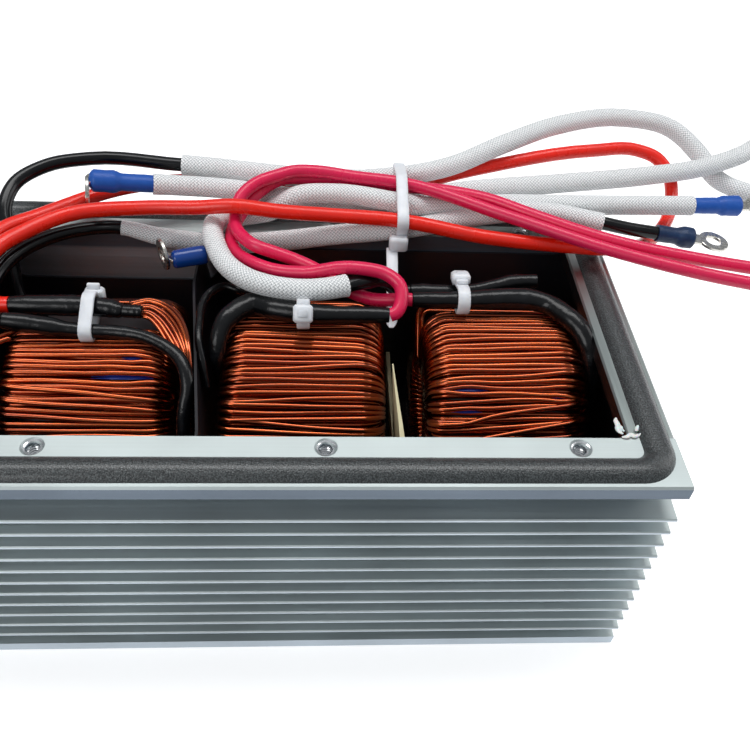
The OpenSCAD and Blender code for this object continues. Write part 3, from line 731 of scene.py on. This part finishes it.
def winding(number, centre_x, seed):
    """The whole winding: an under layer, and an outer layer that leans, waves and now and then crosses."""
    r = random.Random(seed)
    step = 2 * math.pi / TURNS
    drift, depth = wobble(seed * 10), wobble(seed * 10 + 1)
    line, under = [], []
    for i in range(*SPAN[number]):
        own, lean = wobble(seed * 1000 + i, 2), r.gauss(0, LEAN_SPREAD)
        proud = r.choice((0, 0, 0, 0.25, 0.4)) + r.uniform(-0.4, 0.05) - 0.2 * abs(depth(i * 0.8))
        if i in RIDERS[number]:
            lean, proud = RIDERS[number][i]
        high = min(1.0, max(0.0, (i - TOP_FROM) / TOP_OVER))  # 0 at the front of the winding, 1 at its top
        slant = lean + LEAN[number] * high * (1.3 - high)
        bends = (BENDS[0], BENDS[1] + TOP_BEND[number] * high**2)
        outer = COIL_R - WIRE_R - 0.2 + min(proud, 0.2)
        inner = COIL_BORE_R + WIRE_R + TWO_DEEP * (i % 2)
        shape = turn_shape(outer, COIL_HALF - WIRE_R, inner, bends)
        for k, (x, out) in enumerate(shape):
            wild = max(0.0, min(1.0, (out - WILD_FROM) / WILD_OVER))
            sway = slant * x / COIL_HALF + OWN_WAVE * own(x * 0.09) + SHARED_WAVE * drift(x * 0.035 + i * 0.22)
            sway += pushed_aside(number, i, x)
            rise = out + OWN_RISE * wild * own(x * 0.13 + 3)
            if proud > RIDER_FROM:
                rise += (proud - 0.2) * wild * max(0.0, 1 - (x / RIDER_HALF) ** 2)
            line.append(on_coil(centre_x, x, rise, (i + k / len(shape) + wild * sway) * step))
        sway = r.gauss(0, LEAN_SPREAD)
        low_bends = [b - WIRE_R for b in bends]
        low_shape = turn_shape(UNDER_R - r.uniform(0, 0.25), UNDER_HALF, UNDER_BORE_R, low_bends)
        for x, out in low_shape[4:-3]:  # without its part in the bore, which never shows
            under.append(on_coil(centre_x, x, out, (i + 0.5 + sway * x / COIL_HALF) * step))
    wire = sweep_mesh(np.array(line) * MM, circle(WIRE_R * MM, 8))
    under_wire = sweep_mesh(np.array(under) * MM, circle((WIRE_R + 0.08) * MM, 5), start=3.0)
    made = piece(f"wound_wire_{number}", [wire, under_wire], copper, 180)
    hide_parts(f"winding_{number}")
    return made


for n, x in enumerate(COIL_X, 1):
    wire = winding(n, x, 40 + n)
    print(wire.name, len(wire.data.polygons), "faces")

# %% [markdown]
# ## Cores and film
# The cores are pressed iron-powder rings, dipped in epoxy: dark, even and
# satin. Their edges are well rounded, so the wire doesn't kink. A torus would
# be too round and a cylinder too sharp, so a rounded outline is swept round
# the axis. A thin blue polyester film, shiny and a little puckered, lies
# between the layers of wire, and shows where the turns part.

# %% Cores
powder_core, tree, shader = finish("epoxy_coated_powder_core", "#17171A", roughness=0.5)
CORE_OUT, CORE_IN, CORE_HALF, CORE_EDGE = 32.6, 18.6, 21.2, 7.0
corner = [(math.cos(a) * CORE_EDGE, math.sin(a) * CORE_EDGE) for a in np.linspace(0, math.pi / 2, 6)]
across, high = CORE_HALF - CORE_EDGE, (CORE_OUT - CORE_IN) / 2 - CORE_EDGE
quarter = [((across + x) * MM, (high + y) * MM) for x, y in corner]
ring_outline = [(sx * x, sy * y) for sx, sy in ((1, 1), (-1, 1), (-1, -1), (1, -1)) for x, y in quarter[:: sx * sy]]
for n, x in enumerate(COIL_X, 1):
    loop = [on_coil(x, 0, (CORE_OUT + CORE_IN) / 2, a) for a in whole_turn(72)]
    ring = sweep_mesh(np.array(loop) * MM, ring_outline, side=(1, 0, 0), closed=True)
    core = piece(f"core_ring_{n}", [ring], powder_core, 40)
    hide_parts(f"core_{n}")
print("three cores made")

# %% Blue film
blue_film = lumpy("blue_polyester_film", "#0E2A86", 260.0, 2.0, 0.4, 0.5, roughness=0.25)
FILM_R, STRIP_GAP = 34.75, 0.28  # mm out from the axis, and turns between two strips
films = []
for n, x in enumerate(COIL_X, 1):
    for turn, middle, reach, _ in PARTED[n]:
        for k in (-1, 0, 1):
            a = (turn + 0.05 + k * STRIP_GAP) * 2 * math.pi / TURNS
            ends = [on_coil(x, middle + side * reach * 0.95, FILM_R, a) for side in (-1, -0.3, 0.3, 1)]
            films.append(sweep_mesh(np.array(ends) * MM, rounded(0.8 * MM, 0.2 * MM, 0.04 * MM), [0.2, 1, 1, 0.2]))
film_bits = piece("layer_film", films, blue_film, 60)
print(len(films), "strips of film")

# %% [markdown]
# ## Splices
# Each lead is crimped to the winding's end, and the joint is covered with
# black shrink tube lying along the top of the winding. The tubes swell over
# the crimp, narrow at their ends and bend down with the wire. They could be
# sculpted; a sweep with a changing radius gives the same form and stays exact.

# %% Shrink tubes over the splices
LUMPS, LUMP_PACE = 0.035, 26  # share of the radius, and how fast the lumps follow each other


def shrunk(name, points, radii, node=None, flatten=1.0, seed=0):
    """A shrunk tube through points in mm; radii are (share of the length, radius in mm) pairs."""
    line = flow(points, 8)
    share = how_far(line) / how_far(line)[-1]
    base = np.interp(share, [s for s, _ in radii], [v for _, v in radii])
    lump = wobble(name + str(seed), 5)
    scales = [b * (1 + LUMPS * lump(s * LUMP_PACE)) for b, s in zip(base, share)]
    outline = [(x, y * flatten) for x, y in circle(MM, 22)]
    made = piece(name, [sweep_mesh(line, outline, scales)], black_shrink, 60)
    if node:
        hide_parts(node)


shrunk(
    "splice_1_rear",
    [(-82, 3.6, 86.3), (-76, 3.7, 86.2), (-66, 3.9, 86), (-58, 3.8, 85.9), (-53, 3.2, 85.8), (-48.6, 2.0, 85.6)],
    [(0, 2.7), (0.12, 3), (0.35, 3.35), (0.62, 3.3), (0.88, 2.9), (0.97, 2.4), (1, 1.8)],
    "splice_sleeves_1",
    flatten=0.94,
)
shrunk(
    "splice_1_cap",
    [(-49, 1.9, 85.9), (-46, 1.6, 86), (-43, 1.4, 86)],
    [(0, 1.7), (0.1, 2), (0.92, 2), (1, 1.7)],
    seed=2,
)
shrunk(
    "splice_1_front",
    [
        (-82, -3.6, 86.3), (-74, -3.9, 85.4), (-65, -4.2, 84), (-58, -4.4, 83.4), (-50.4, -4.6, 83.2),
        (-42, -6.2, 83.1), (-38.4, -7.9, 82.9), (-34.7, -10.1, 82.4), (-30.7, -13.6, 81.2), (-28.6, -17.7, 79.2),
        (-28, -21, 76.6), (-28.8, -24.6, 73), (-29.4, -28, 68), (-29.4, -30, 60),
    ],
    [(0, 2.5), (0.06, 2.8), (0.17, 2.8), (0.21, 2.2), (0.25, 2.05), (1, 2.05)],
)
shrunk(
    "splice_2",
    [
        (31, 1.1, 86.4), (22, 1.1, 86.4), (8, 1.1, 86.4), (-4, 3.4, 86.2), (-10.7, 7, 84.9), (-13.8, 5.2, 84.9),
        (-16.3, 2.8, 84.7), (-18.6, 0, 83.8), (-20.2, -3.4, 81.4), (-20.8, -6.6, 77), (-20.8, -8.6, 70),
    ],
    [(0, 2.3), (0.05, 2.6), (0.2, 2.7), (0.36, 3.3), (0.5, 3.4), (0.6, 3.6), (0.75, 3.1), (0.88, 2.6), (1, 1.4)],
    "splice_sleeves_2",
    seed=4,
)
shrunk(
    "splice_3_front",
    [
        (39, 10, 85.2), (46, 10, 85.2), (58, 10.4, 85.2), (70, 11.6, 85), (77, 11.6, 84.6), (82.4, 9.6, 84.4),
        (87, 4.6, 84.2), (91, -0.6, 82.6), (93.6, -5, 78.6), (94.8, -8.4, 72), (95.2, -10.6, 62),
    ],
    [(0, 2.3), (0.08, 2.7), (0.2, 2.8), (0.3, 3.3), (0.45, 3.5), (0.6, 3.2), (0.75, 3.2), (1, 2.8)],
    "splice_sleeves_3",
    seed=5,
)
shrunk(
    "splice_3_rear",
    [(39, 16.8, 82.9), (48, 16.8, 82.9), (57, 17.2, 83.2), (66, 18.6, 84.2), (73, 19.6, 85.4), (80, 19.5, 86)],
    [(0, 2.5), (0.1, 2.8), (0.4, 2.2), (0.6, 2.2), (0.75, 2.6), (0.9, 2.4), (1, 2.2)],
    seed=6,
)
shrunk(
    "loose_lead",
    [
        (-12, 19, 79), (-16.2, 17.8, 81.6), (-20.8, 18.6, 82.4), (-24.6, 15.4, 82.6), (-26.6, 9.2, 82.2),
        (-26.6, 2, 81.6), (-26.2, -5, 80.2), (-25, -10, 76.5), (-23.6, -14, 70),
    ],
    [(0, 1.25), (1, 1.25)],
    seed=7,
)
print("shrink tubes made")

# %% [markdown]
# ## Loose wire ends
# Out of the left splice, single wires fan down into the winding, spread by
# hand before the tube was shrunk. Two more start the winding at its left
# shoulder. Each wire is a blend of the fan's two outer ones, so the fan stays
# even, and every second one is lifted a little, so that they don't merge.

# %% Loose wire ends
FAN_OUTER = [
    (-48, 7.4, 84.2), (-42.6, 10.4, 83.2), (-37.8, 8.7, 83), (-33.2, 3.9, 83), (-30, -2.9, 82.8), (-28.4, -9.4, 82),
    (-27.8, -14, 79.6), (-27.4, -17, 75), (-27.2, -18.5, 68),
]
FAN_INNER = [
    (-44.2, 1.4, 84.6), (-41.2, 0.4, 84.4), (-38.6, -2.2, 83.8), (-36, -6, 82.4), (-33.4, -9.8, 80.6),
    (-31, -13, 77.6), (-29.6, -15.4, 73.5), (-29.2, -16.6, 70), (-29, -17.5, 66),
]
START_END = [(-80, -4, 82.6), (-83.5, -6, 82.2), (-86.6, -10, 80), (-88, -14, 75), (-88.4, -17, 66)]
STRANDS, STRAND_R = 7, 0.66
strands = []
for k in range(STRANDS):
    t = k / (STRANDS - 1)
    points = [[a + (b - a) * t for a, b in zip(p, q)] for p, q in zip(FAN_OUTER, FAN_INNER)]
    points[1:] = [(x, y, z + 0.5 * (k % 2)) for x, y, z in points[1:]]
    strands.append(sweep_mesh(flow(points, 5), circle(STRAND_R * MM, 8), start=k * 0.7))
for k in (0, 1):
    points = [(x, y - 3 * k, z) for x, y, z in START_END]
    strands.append(sweep_mesh(flow(points, 5), circle(WIRE_R * MM, 8), start=6 + k))
fan = piece("splice_strands_1", strands, copper, 180)
print(len(strands), "loose wires made")

# %% [markdown]
# ## Nylon ties
# A cable tie is a moulded strap with fine teeth across its inside and a
# square head that locks it. Natural nylon lets a little light into its
# surface, so it gets some subsurface scattering. The straps follow the same
# loops as the CAD, with cut corners and a head with a slot.

# %% Natural nylon
nylon, tree, shader = finish(
    "natural_nylon", "#D3D8DF", roughness=0.36, subsurface_weight=0.35, subsurface_scale=0.002
)
shader.inputs["Subsurface Radius"].default_value = (1.0, 0.9, 0.8)
place = add(tree, "TexCoord").outputs["Object"]
clouds = add(tree, "TexNoise", {"Vector": place, "Scale": 300.0, "Detail": 2.0}).outputs[0]
colour_by(shader, clouds, (0, 1), "#D6DAE0", "#EEF0F3")
bump_by(shader, clouds, 0.12, 0.3 * MM)
print("nylon made")

# %% A strap's path
STRAP_W, STRAP_T, HEAD = 3.8, 1.1, 5.4
TIE_FIT = 0.15  # room between a strap and what it holds
TOOTH_GAP, TOOTH = 0.55, 0.035  # mm between the teeth, and their height as a share of the strap


def hull(points):
    """The convex outline round points in a plane, in order."""
    pts = sorted(set((round(x, 5), round(y, 5)) for x, y in points))

    def half(seq):
        out = []
        for x, y in seq:
            while len(out) > 1:
                (ax, ay), (bx, by) = out[-2:]
                if (bx - ax) * (y - ay) > (by - ay) * (x - ax):
                    break
                out.pop()
            out.append((x, y))
        return out[:-1]

    return half(pts) + half(pts[::-1])


def tight(tubes, steps):
    """The middle line of a strap drawn tight round tubes, given as (y, z, radius) in mm."""
    grown = [(y, z, r + TIE_FIT + STRAP_T / 2) for y, z, r in tubes]
    turned = np.linspace(0, 2 * math.pi, steps)
    return hull([(y + r * math.cos(a), z + r * math.sin(a)) for y, z, r in grown for a in turned])


def even(outline, gap):
    """A closed outline again, with points about `gap` apart."""
    p = np.array(outline + [outline[0]], float)
    far = how_far(p)
    at = np.linspace(0, far[-1], int(far[-1] / gap), endpoint=False)
    return [(np.interp(a, far, p[:, 0]), np.interp(a, far, p[:, 1])) for a in at]


print("a tie round two 6 mm tubes has", len(even(tight([(0, 0, 3), (8, 0, 3)], 60), TOOTH_GAP)), "teeth and gaps")

# %% Heads and straps


def block(centre, side, up, size, cut):
    """A box with cut edges, in mm; its size is its whole size along side, square to side and up, and along up."""
    width, depth, height = size
    stops = np.array((-height / 2, cut - height / 2, height / 2 - cut, height / 2))
    line = (np.array(centre) + stops[:, None] * np.array(up)) * MM
    tips = 1 - 2 * cut / max(width, depth)
    return sweep_mesh(line, rounded(width * MM, depth * MM, cut * MM), (tips, 1, 1, tips), side=side)


def strap_loop(x, outline, name, node, extra):
    """A strap in a plane across the case; outline is its middle line as (y, z) in mm."""
    loop = [(x * MM, y * MM, z * MM) for y, z in even(outline, TOOTH_GAP)]
    teeth = [1 + TOOTH * (i % 2) for i in range(len(loop))]
    flat_bar = rounded(STRAP_W * MM, STRAP_T * MM, 0.28 * MM)
    strap = sweep_mesh(loop, flat_bar, teeth, side=(1, 0, 0), closed=True)
    made = piece(name, [strap, *extra], nylon, 50)
    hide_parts(node)


# %% Ties round the splices


def coil_tie(name, node, x, tubes, under_head, lean, stub_side=-1):
    """A tie round tubes, given as (y, z, radius) in mm; its head sits on one of them and leans back by an angle."""
    y, z, radius = tubes[under_head]
    along = (1, 0, 0)
    up = np.array((0, -math.sin(lean), math.cos(lean)))
    across = np.array((0, math.cos(lean), math.sin(lean)))
    top = np.array((x, y, z)) + up * (radius + TIE_FIT + STRAP_T + HEAD * 0.22)
    head = block(top, along, up, (HEAD * 1.08, HEAD, HEAD * 0.66), 0.7)
    window = block(top + up * HEAD * 0.34, along, up, (HEAD * 0.55, HEAD * 0.42, 0.35), 0.12)
    stub_at = top + across * stub_side * (HEAD / 2 + 0.8)
    stub = block(stub_at, along, across, (STRAP_W, STRAP_T, 1.8), 0.2)
    strap_loop(x, tight(tubes, 60), name, node, [head, window, stub])


coil_tie("tie_1", "coil_tie_1", -58.6, [(-4.3, 83.4, 2.1), (3.8, 85.9, 3.3)], 1, math.radians(-97))
coil_tie("tie_2", "coil_tie_2", 5, [(1.08, 86.39, 3.3)], 0, math.radians(48.5), 1)
coil_tie("tie_3", "coil_tie_3", 54.8, [(10.2, 85.2, 3.2), (16.9, 83, 2.4)], 1, math.radians(-18.9))
print("three ties on the splices")

# %% The tie round the leads on the rear rim
BUNDLE = [  # (y, z, diameter) in mm
    (43.3, 88.6, 6.8), (49.8, 94.6, 6.8), (58.6, 89.9, 6.8), (64.6, 95.8, 6.8), (66.8, 90, 4.8), (40.2, 93.9, 4.8),
    (54.9, 99.3, 4.2),
]
FRONT = BUNDLE[0][0] - SLEEVE_R - TIE_FIT - STRAP_T  # the front of the strap, where its lock sits
TAIL = [
    (33.9, FRONT - 1.8, 85), (33.8, 30.4, 82.5), (33.7, 24.4, 80.3), (33.5, 20, 79.85), (33, 12, 79.85),
    (32.5, 6.6, 79.85), (32.3, 4.2, 79.85), (32.2, 2.8, 79.85),
]
band = tight([(y, z, d / 2) for y, z, d in BUNDLE], 72)
lock = block((35.9, FRONT - 1.7, 87.2), (1, 0, 0), (0, 1, 0), (6.2, HEAD, HEAD * 0.7), 0.7)
tail_bar = rounded(STRAP_W * MM, STRAP_T * MM, 0.25 * MM)
tail = sweep_mesh(np.array(TAIL) * MM, tail_bar, [1, 1, 1, 1, 1, 1, 0.75, 0.35], side=(1, 0, 0))
strap_loop(37, band, "bundle_strap", "bundle_tie", [lock, tail])
print("bundle tie made")

# %% [markdown]
# ## The case
# The sides are one aluminium extrusion each, 6 mm between fins, left with its
# mill finish: the die draws fine lines along its length. The end plates are
# cut plate, brushed along their own length. The CAD nodes have the right
# shape, so they stay and only get these finishes. Light is painted into
# them too: level faces lighter, upright faces darker, and the fins paler.

# %% Extruded and brushed aluminium
# Painted light: below these heights, where the fins shade each other, they are painted paler.
FINS_TOP, RIM_UNDER = 76.2, 77.6  # mm up; below the rim the fins shade each other


def aluminium(name, stretch, upward, upright, fins_painted_paler, rough=(0.28, 0.46)):
    """Bare aluminium: lines drawn along one direction, and painted light: level faces lighter, upright faces darker,
    and the fins painted paler.
    """
    material, tree, shader = finish(name, upward, metallic=1.0, roughness=0.4)
    place = add(tree, "TexCoord")
    drawn = add(tree, "Mapping", {0: place.outputs["Object"], "Scale": stretch}).outputs[0]
    lines = add(tree, "TexNoise", {"Vector": drawn, "Scale": 1.0, "Detail": 5.0, "Roughness": 0.65}).outputs[0]
    cloud = add(tree, "TexNoise", {"Vector": place.outputs["Object"], "Scale": 30.0, "Detail": 2.0}).outputs[0]
    both = add(tree, "Math", {0: lines, 1: cloud}, operation="ADD").outputs[0]
    amount = add(tree, "MapRange", {0: both, 1: 0.75, 2: 1.25, 3: 0.84, 4: 1.0}).outputs[0]
    # Painted light: faces turned up are painted lighter and upright faces darker, as the light falls on them.
    faces_up_for_painted_light = add(tree, "SeparateXYZ", {0: place.outputs["Normal"]}).outputs[2]
    level = add(tree, "MapRange", {0: faces_up_for_painted_light, 1: 0.2, 2: 0.8, 3: 0.0, 4: 1.0}).outputs[0]
    height = add(tree, "SeparateXYZ", {0: place.outputs["Object"]}).outputs[2]
    painted_paler_fins_mask = add(tree, "MapRange", {0: height, 1: FINS_TOP * MM, 2: RIM_UNDER * MM, 3: 1.0, 4: 0.0}).outputs[0]
    sides = blend_colours(tree, painted_paler_fins_mask, linear(upright), linear(fins_painted_paler))
    colour = blend_colours(tree, level, sides, linear(upward))
    shade = add(tree, "VectorMath", {0: colour, "Scale": amount}, operation="SCALE").outputs[0]
    tree.links.new(shade, shader.inputs["Base Color"])
    roughness_by(shader, lines, *rough)
    bump_by(shader, lines, 0.16, 0.2 * MM)
    return material


# Painted light in these colours: lighter level faces, darker upright walls and plate sides, and paler fins.
extruded = aluminium("extruded_aluminium", (9, 1500, 1500), "#D0D9D8", "#747F8B", "#C6D0D8", (0.5, 0.68))
brushed = aluminium("brushed_aluminium", (1500, 12, 1500), "#A9B2B0", "#5E5C5E", "#5E5C5E")
print("two aluminium finishes made")

# %% [markdown]
# ## Foam, sealant, resin and sheets
# The rim's gasket is closed-cell foam rubber: cells of about 0.5 mm show as
# fine dark and light specks, under a slight gloss from its moulded skin. The
# corners are sealed with white silicone, which sets lumpy and lets a little
# light in. The resin was poured and set nearly level, so it is glossy with a
# slow ripple. The dividers are a limp black film and a pale woven board.

# %% Foam rubber
foam, tree, shader = finish("closed_cell_foam_rubber", "#2B2F31", roughness=0.3, coat_weight=0.4, coat_roughness=0.18)
place = add(tree, "TexCoord").outputs["Object"]
cells = add(tree, "TexVoronoi", {"Vector": place, "Scale": 2200.0}).outputs[0]
patches = add(tree, "TexNoise", {"Vector": place, "Scale": 2600.0, "Detail": 3.0}).outputs[0]
colour_by(shader, patches, (0.4, 0.72), "#121617", "#525859")
bump_by(shader, add(tree, "Math", {0: cells, 1: patches}, operation="ADD").outputs[0], 0.35, 0.4 * MM)
print("foam made")

# %% Sealant, resin and film
WAX = {"subsurface_weight": 0.2, "subsurface_scale": 0.001}
sealant = lumpy("white_silicone_sealant", "#E6E9E7", 500.0, 3.0, 0.5, 0.6, roughness=0.42, **WAX)
resin = lumpy("cast_black_resin", "#0C0C0E", 60.0, 3.0, 0.3, 1.0, roughness=0.2)
film = lumpy("black_polyester_film", "#1B1A1E", 45.0, 2.0, 0.4, 1.5, roughness=0.34)

# %% Glass epoxy board
board, tree, shader = finish("glass_epoxy_board", "#CFC69C", roughness=0.5)
place = add(tree, "TexCoord").outputs["Object"]
fibres = add(tree, "Mapping", {0: place, "Scale": (900, 120, 900)}).outputs[0]
weave = add(tree, "TexNoise", {"Vector": fibres, "Scale": 1.0, "Detail": 3.0}).outputs[0]
colour_by(shader, weave, (0, 1), "#A89E72", "#E4DDBB")
print("sealant, resin, film and board made")

# %% Give the CAD nodes their finishes
FINISHES = {
    extruded: ("base_plate", "front_wall", "rear_wall"),
    brushed: ("left_end_plate", "right_end_plate"),
    foam: ("rim_gasket",),
    resin: ("potting_bed",),
    film: ("front_liner", "rear_liner"),
}
for material, nodes in FINISHES.items():
    for node in nodes:
        for place_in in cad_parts[node].material_slots:
            place_in.material = material
print(sum(len(nodes) for nodes in FINISHES.values()), "CAD nodes finished")

# %% [markdown]
# ## Threads in the cover holes
# The cover's M5 screws run in threads tapped straight into the wall: bright
# helical ridges 0.8 mm apart, in the chamfer and down the bore. A Screw
# modifier on a small triangle could turn them. A triangle swept along a helix
# uses the sweep that is already here, and can open out with the chamfer.

# %% Tapped threads
THREAD_PITCH, THREAD_TURNS, THREAD_TOP, HOLE_R, CHAMFER = 0.8, 7, 0.3, 2.1, 1.0
HOLES_X, HOLE_Y, RIM_Z = (-63, 12, 80), 49.1, 84.0
RIDGE = [(-0.34 * MM, 0), (0.05 * MM, 0.24 * MM), (0.05 * MM, -0.24 * MM)]
# Painted light: the ridges' level faces are painted lighter than their upright faces.
tapped = aluminium("tapped_aluminium", (700, 700, 700), "#F4F6F7", "#D4D9DC", "#D4D9DC", (0.12, 0.3))
threads = []
for hole_x in HOLES_X:
    for hole_y in (-HOLE_Y, HOLE_Y):
        helix = []
        for turned in np.linspace(0, 2 * math.pi * THREAD_TURNS, 18 * THREAD_TURNS + 1):
            depth = THREAD_TOP + THREAD_PITCH * turned / (2 * math.pi)
            bore = HOLE_R + max(0, CHAMFER - depth)
            helix.append((hole_x + bore * math.cos(turned), hole_y + bore * math.sin(turned), RIM_Z - depth))
        threads.append(sweep_mesh(np.array(helix) * MM, RIDGE))
cover_threads = piece("cover_threads", threads, tapped, 30)
print(len(threads), "tapped holes")

# %% [markdown]
# ## Torn sealant
# The sealant was squeezed out of the corners and torn when the cover came
# off, so it stands up in strips and lumps. Sculpting would give one shape;
# short sweeps along random crooked lines give four corners that differ.

# %% Strips and lumps in the four inner corners
TORN = (  # from, to and half width in mm, for the right rear corner
    ((92, 38.2, 84.3), (92.2, 44.6, 84.4), 0.8),
    ((92.4, 45.4, 84.3), (97.4, 44.6, 84.4), 0.8),
    ((96.2, 43, 84.3), (98.8, 41.8, 84.4), 0.5),
    ((91.6, 42, 84.1), (93.2, 43.4, 84.6), 0.9),
)
ALONG_SCRAP = (0.35, 0.9, 1, 1, 0.8, 0.3)  # how wide a scrap is from end to end
r = random.Random(17)
scrap_outline = [(u, v * 0.55) for u, v in circle(MM, 10)]
scraps = []
for corner in ((-1, -1, 1), (-1, 1, 1), (1, -1, 1), (1, 1, 1)):
    for start, stop, wide in TORN:
        a, b = np.array(start) * corner, np.array(stop) * corner
        line = []
        for t in np.linspace(0, 1, len(ALONG_SCRAP)):
            stray = np.array([r.uniform(-0.5, 0.5), r.uniform(-0.5, 0.5), r.uniform(-0.1, 0.3)])
            line.append(a + (b - a) * t + stray)
        scales = [wide * v * r.uniform(0.7, 1.25) for v in ALONG_SCRAP]
        smooth = np.interp(np.linspace(0, 5, 21), range(6), scales)
        scraps.append(sweep_mesh(flow(line, 4), scrap_outline, smooth))
torn = piece("torn_sealant", scraps, sealant, 60)
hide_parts("corner_sealant")
print(len(scraps), "scraps of sealant")

# %% [markdown]
# ## Dividers
# Two sheets part the windings: a limp black film that the leads have pushed
# over, and a stiff pale board, cut low at the rear. A plane with thickness
# would do for the film, but the board tapers too, so both are built from rows.

# %% Film and board between the windings
BED_Z, TOP_Z, END_Y = 21.0, 79.0, 44.2
PAIRS = 5  # pairs of points in a row, from the bed to its top


def divider(name, foot, rows, material, node):
    """An upright sheet from rows of (y, top x, top z, thickness) in mm that stands on the bed at foot x."""
    verts, faces = [], []
    for y, x, z, thick in rows:
        for k in range(PAIRS):
            h = BED_Z + (z - BED_Z) * k / (PAIRS - 1)
            at = foot + (x - foot) * (h - BED_Z) / (TOP_Z - BED_Z)
            verts += [((at + side * thick / 2) * MM, y * MM, h * MM) for side in (-1, 1)]
    row, top = 2 * PAIRS, 2 * PAIRS - 2
    for a in range(0, row * (len(rows) - 1), row):
        b = a + row
        for k in range(0, top, 2):
            faces += [(a + k, b + k, b + k + 2, a + k + 2), (a + k + 1, a + k + 3, b + k + 3, b + k + 1)]
        faces += [(a + top, b + top, b + top + 1, a + top + 1), (a, a + 1, b + 1, b)]
    for a, turned in ((0, 1), (row * (len(rows) - 1), -1)):
        faces += [(a + k, a + k + 2, a + k + 3, a + k + 1)[::turned] for k in range(0, top, 2)]
    made = piece(name, [(verts, faces, [(0, 0)] * sum(len(f) for f in faces))], material, 30)
    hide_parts(node)


sheet_rows = [(y, -23 - max(0, min(y, 24) + 40) * 0.128, TOP_Z, 0.8) for y in np.linspace(-END_Y, END_Y, 19)]
divider("divider_sheet", -23, sheet_rows, film, "divider_left")
board_rows = [
    (-END_Y, 33, TOP_Z, 1.5), (-36, 32.8, TOP_Z, 1.1), (-24, 32.3, TOP_Z, 0.7), (-12.5, 31.9, TOP_Z, 0.35),
    (-10.5, 35.2, 32, 0.5), (0, 35.6, 30, 1.2), (END_Y, 36, 30, 1.5),
]
divider("divider_board", 36.5, board_rows, board, "divider_right")
print("dividers made")

# %% [markdown]
# ## Floor and light
# A pale floor and three soft area lamps, like a light tent: one large lamp
# overhead for the long highlights on wire and rim, a key from the front left,
# and a low fill. The floor turns white for the camera and for reflections, and
# keeps a soft shadow.

# %% Floor
floor_mesh = bpy.data.meshes.new("floor")
floor_mesh.from_pydata([(-3, -3, 0), (3, -3, 0), (3, 3, 0), (-3, 3, 0)], [], [(0, 1, 2, 3)])
floor = bpy.data.objects.new("floor", floor_mesh)
bpy.context.scene.collection.objects.link(floor)
floor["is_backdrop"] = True
paper, tree, shader = finish("white_backdrop_paper", "#F2F2F2", roughness=0.9)
rays = add(tree, "LightPath").outputs
seen = add(tree, "Math", {0: rays["Is Camera Ray"], 1: rays["Is Glossy Ray"]}, operation="MAXIMUM").outputs[0]
seen = add(tree, "Math", {0: seen, 1: rays["Is Transmission Ray"]}, operation="MAXIMUM").outputs[0]
glow = add(tree, "Emission", {"Color": (1, 1, 1, 1), "Strength": 0.55}).outputs[0]
mixed = add(tree, "AddShader", {0: shader.outputs[0], 1: glow}).outputs[0]
choice = add(tree, "MixShader", {0: seen, 1: shader.outputs[0], 2: mixed}).outputs[0]
tree.links.new(choice, tree.nodes["Material Output"].inputs["Surface"])
floor_mesh.materials.append(paper)
print("floor made")

# %% World: a tent that is brighter overhead
world = bpy.data.worlds.new("studio")
bpy.context.scene.world = world
world.use_nodes = True
tree = world.node_tree
sky = tree.nodes["Background"]
sky.inputs["Color"].default_value = linear("#E9EDF2")
height = add(tree, "SeparateXYZ", {0: add(tree, "TexCoord").outputs["Generated"]}).outputs[2]
strength = add(tree, "MapRange", {0: height, 1: 0.0, 2: 0.9, 3: 0.2, 4: 0.5}).outputs[0]
tree.links.new(strength, sky.inputs["Strength"])
print("world made")

# %% Lamps


def lamp(name, place, aim, size, power):
    """A soft white rectangular lamp at a place in metres, aimed at a point."""
    data = bpy.data.lights.new(name, "AREA")
    data.shape, data.energy = "RECTANGLE", power
    data.size, data.size_y = size
    made = bpy.data.objects.new(name, data)
    made.location = place
    made.rotation_euler = (Vector(aim) - Vector(place)).to_track_quat("-Z", "Y").to_euler()
    bpy.context.scene.collection.objects.link(made)


lamp("overhead_lamp", (0.0, 0.25, 1.1), (0, 0, 0.05), (1.2, 0.4), 7.6)
lamp("front_left_lamp", (-0.8, -0.9, 0.8), (0, 0, 0.05), (0.7, 0.7), 5.0)
lamp("right_lamp", (1.1, 0.2, 0.6), (0, 0, 0.05), (0.5, 0.8), 2.4)
bpy.context.scene.view_settings.view_transform = "Standard"
print("three lamps made")

# %% [markdown]
# ## The size of the dressed model
# The box round the dressed model is printed, in mm.

# %% Visual box
low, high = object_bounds()
print("visual box in mm:", [round(v * 1000, 1) for v in (*low, *high)])
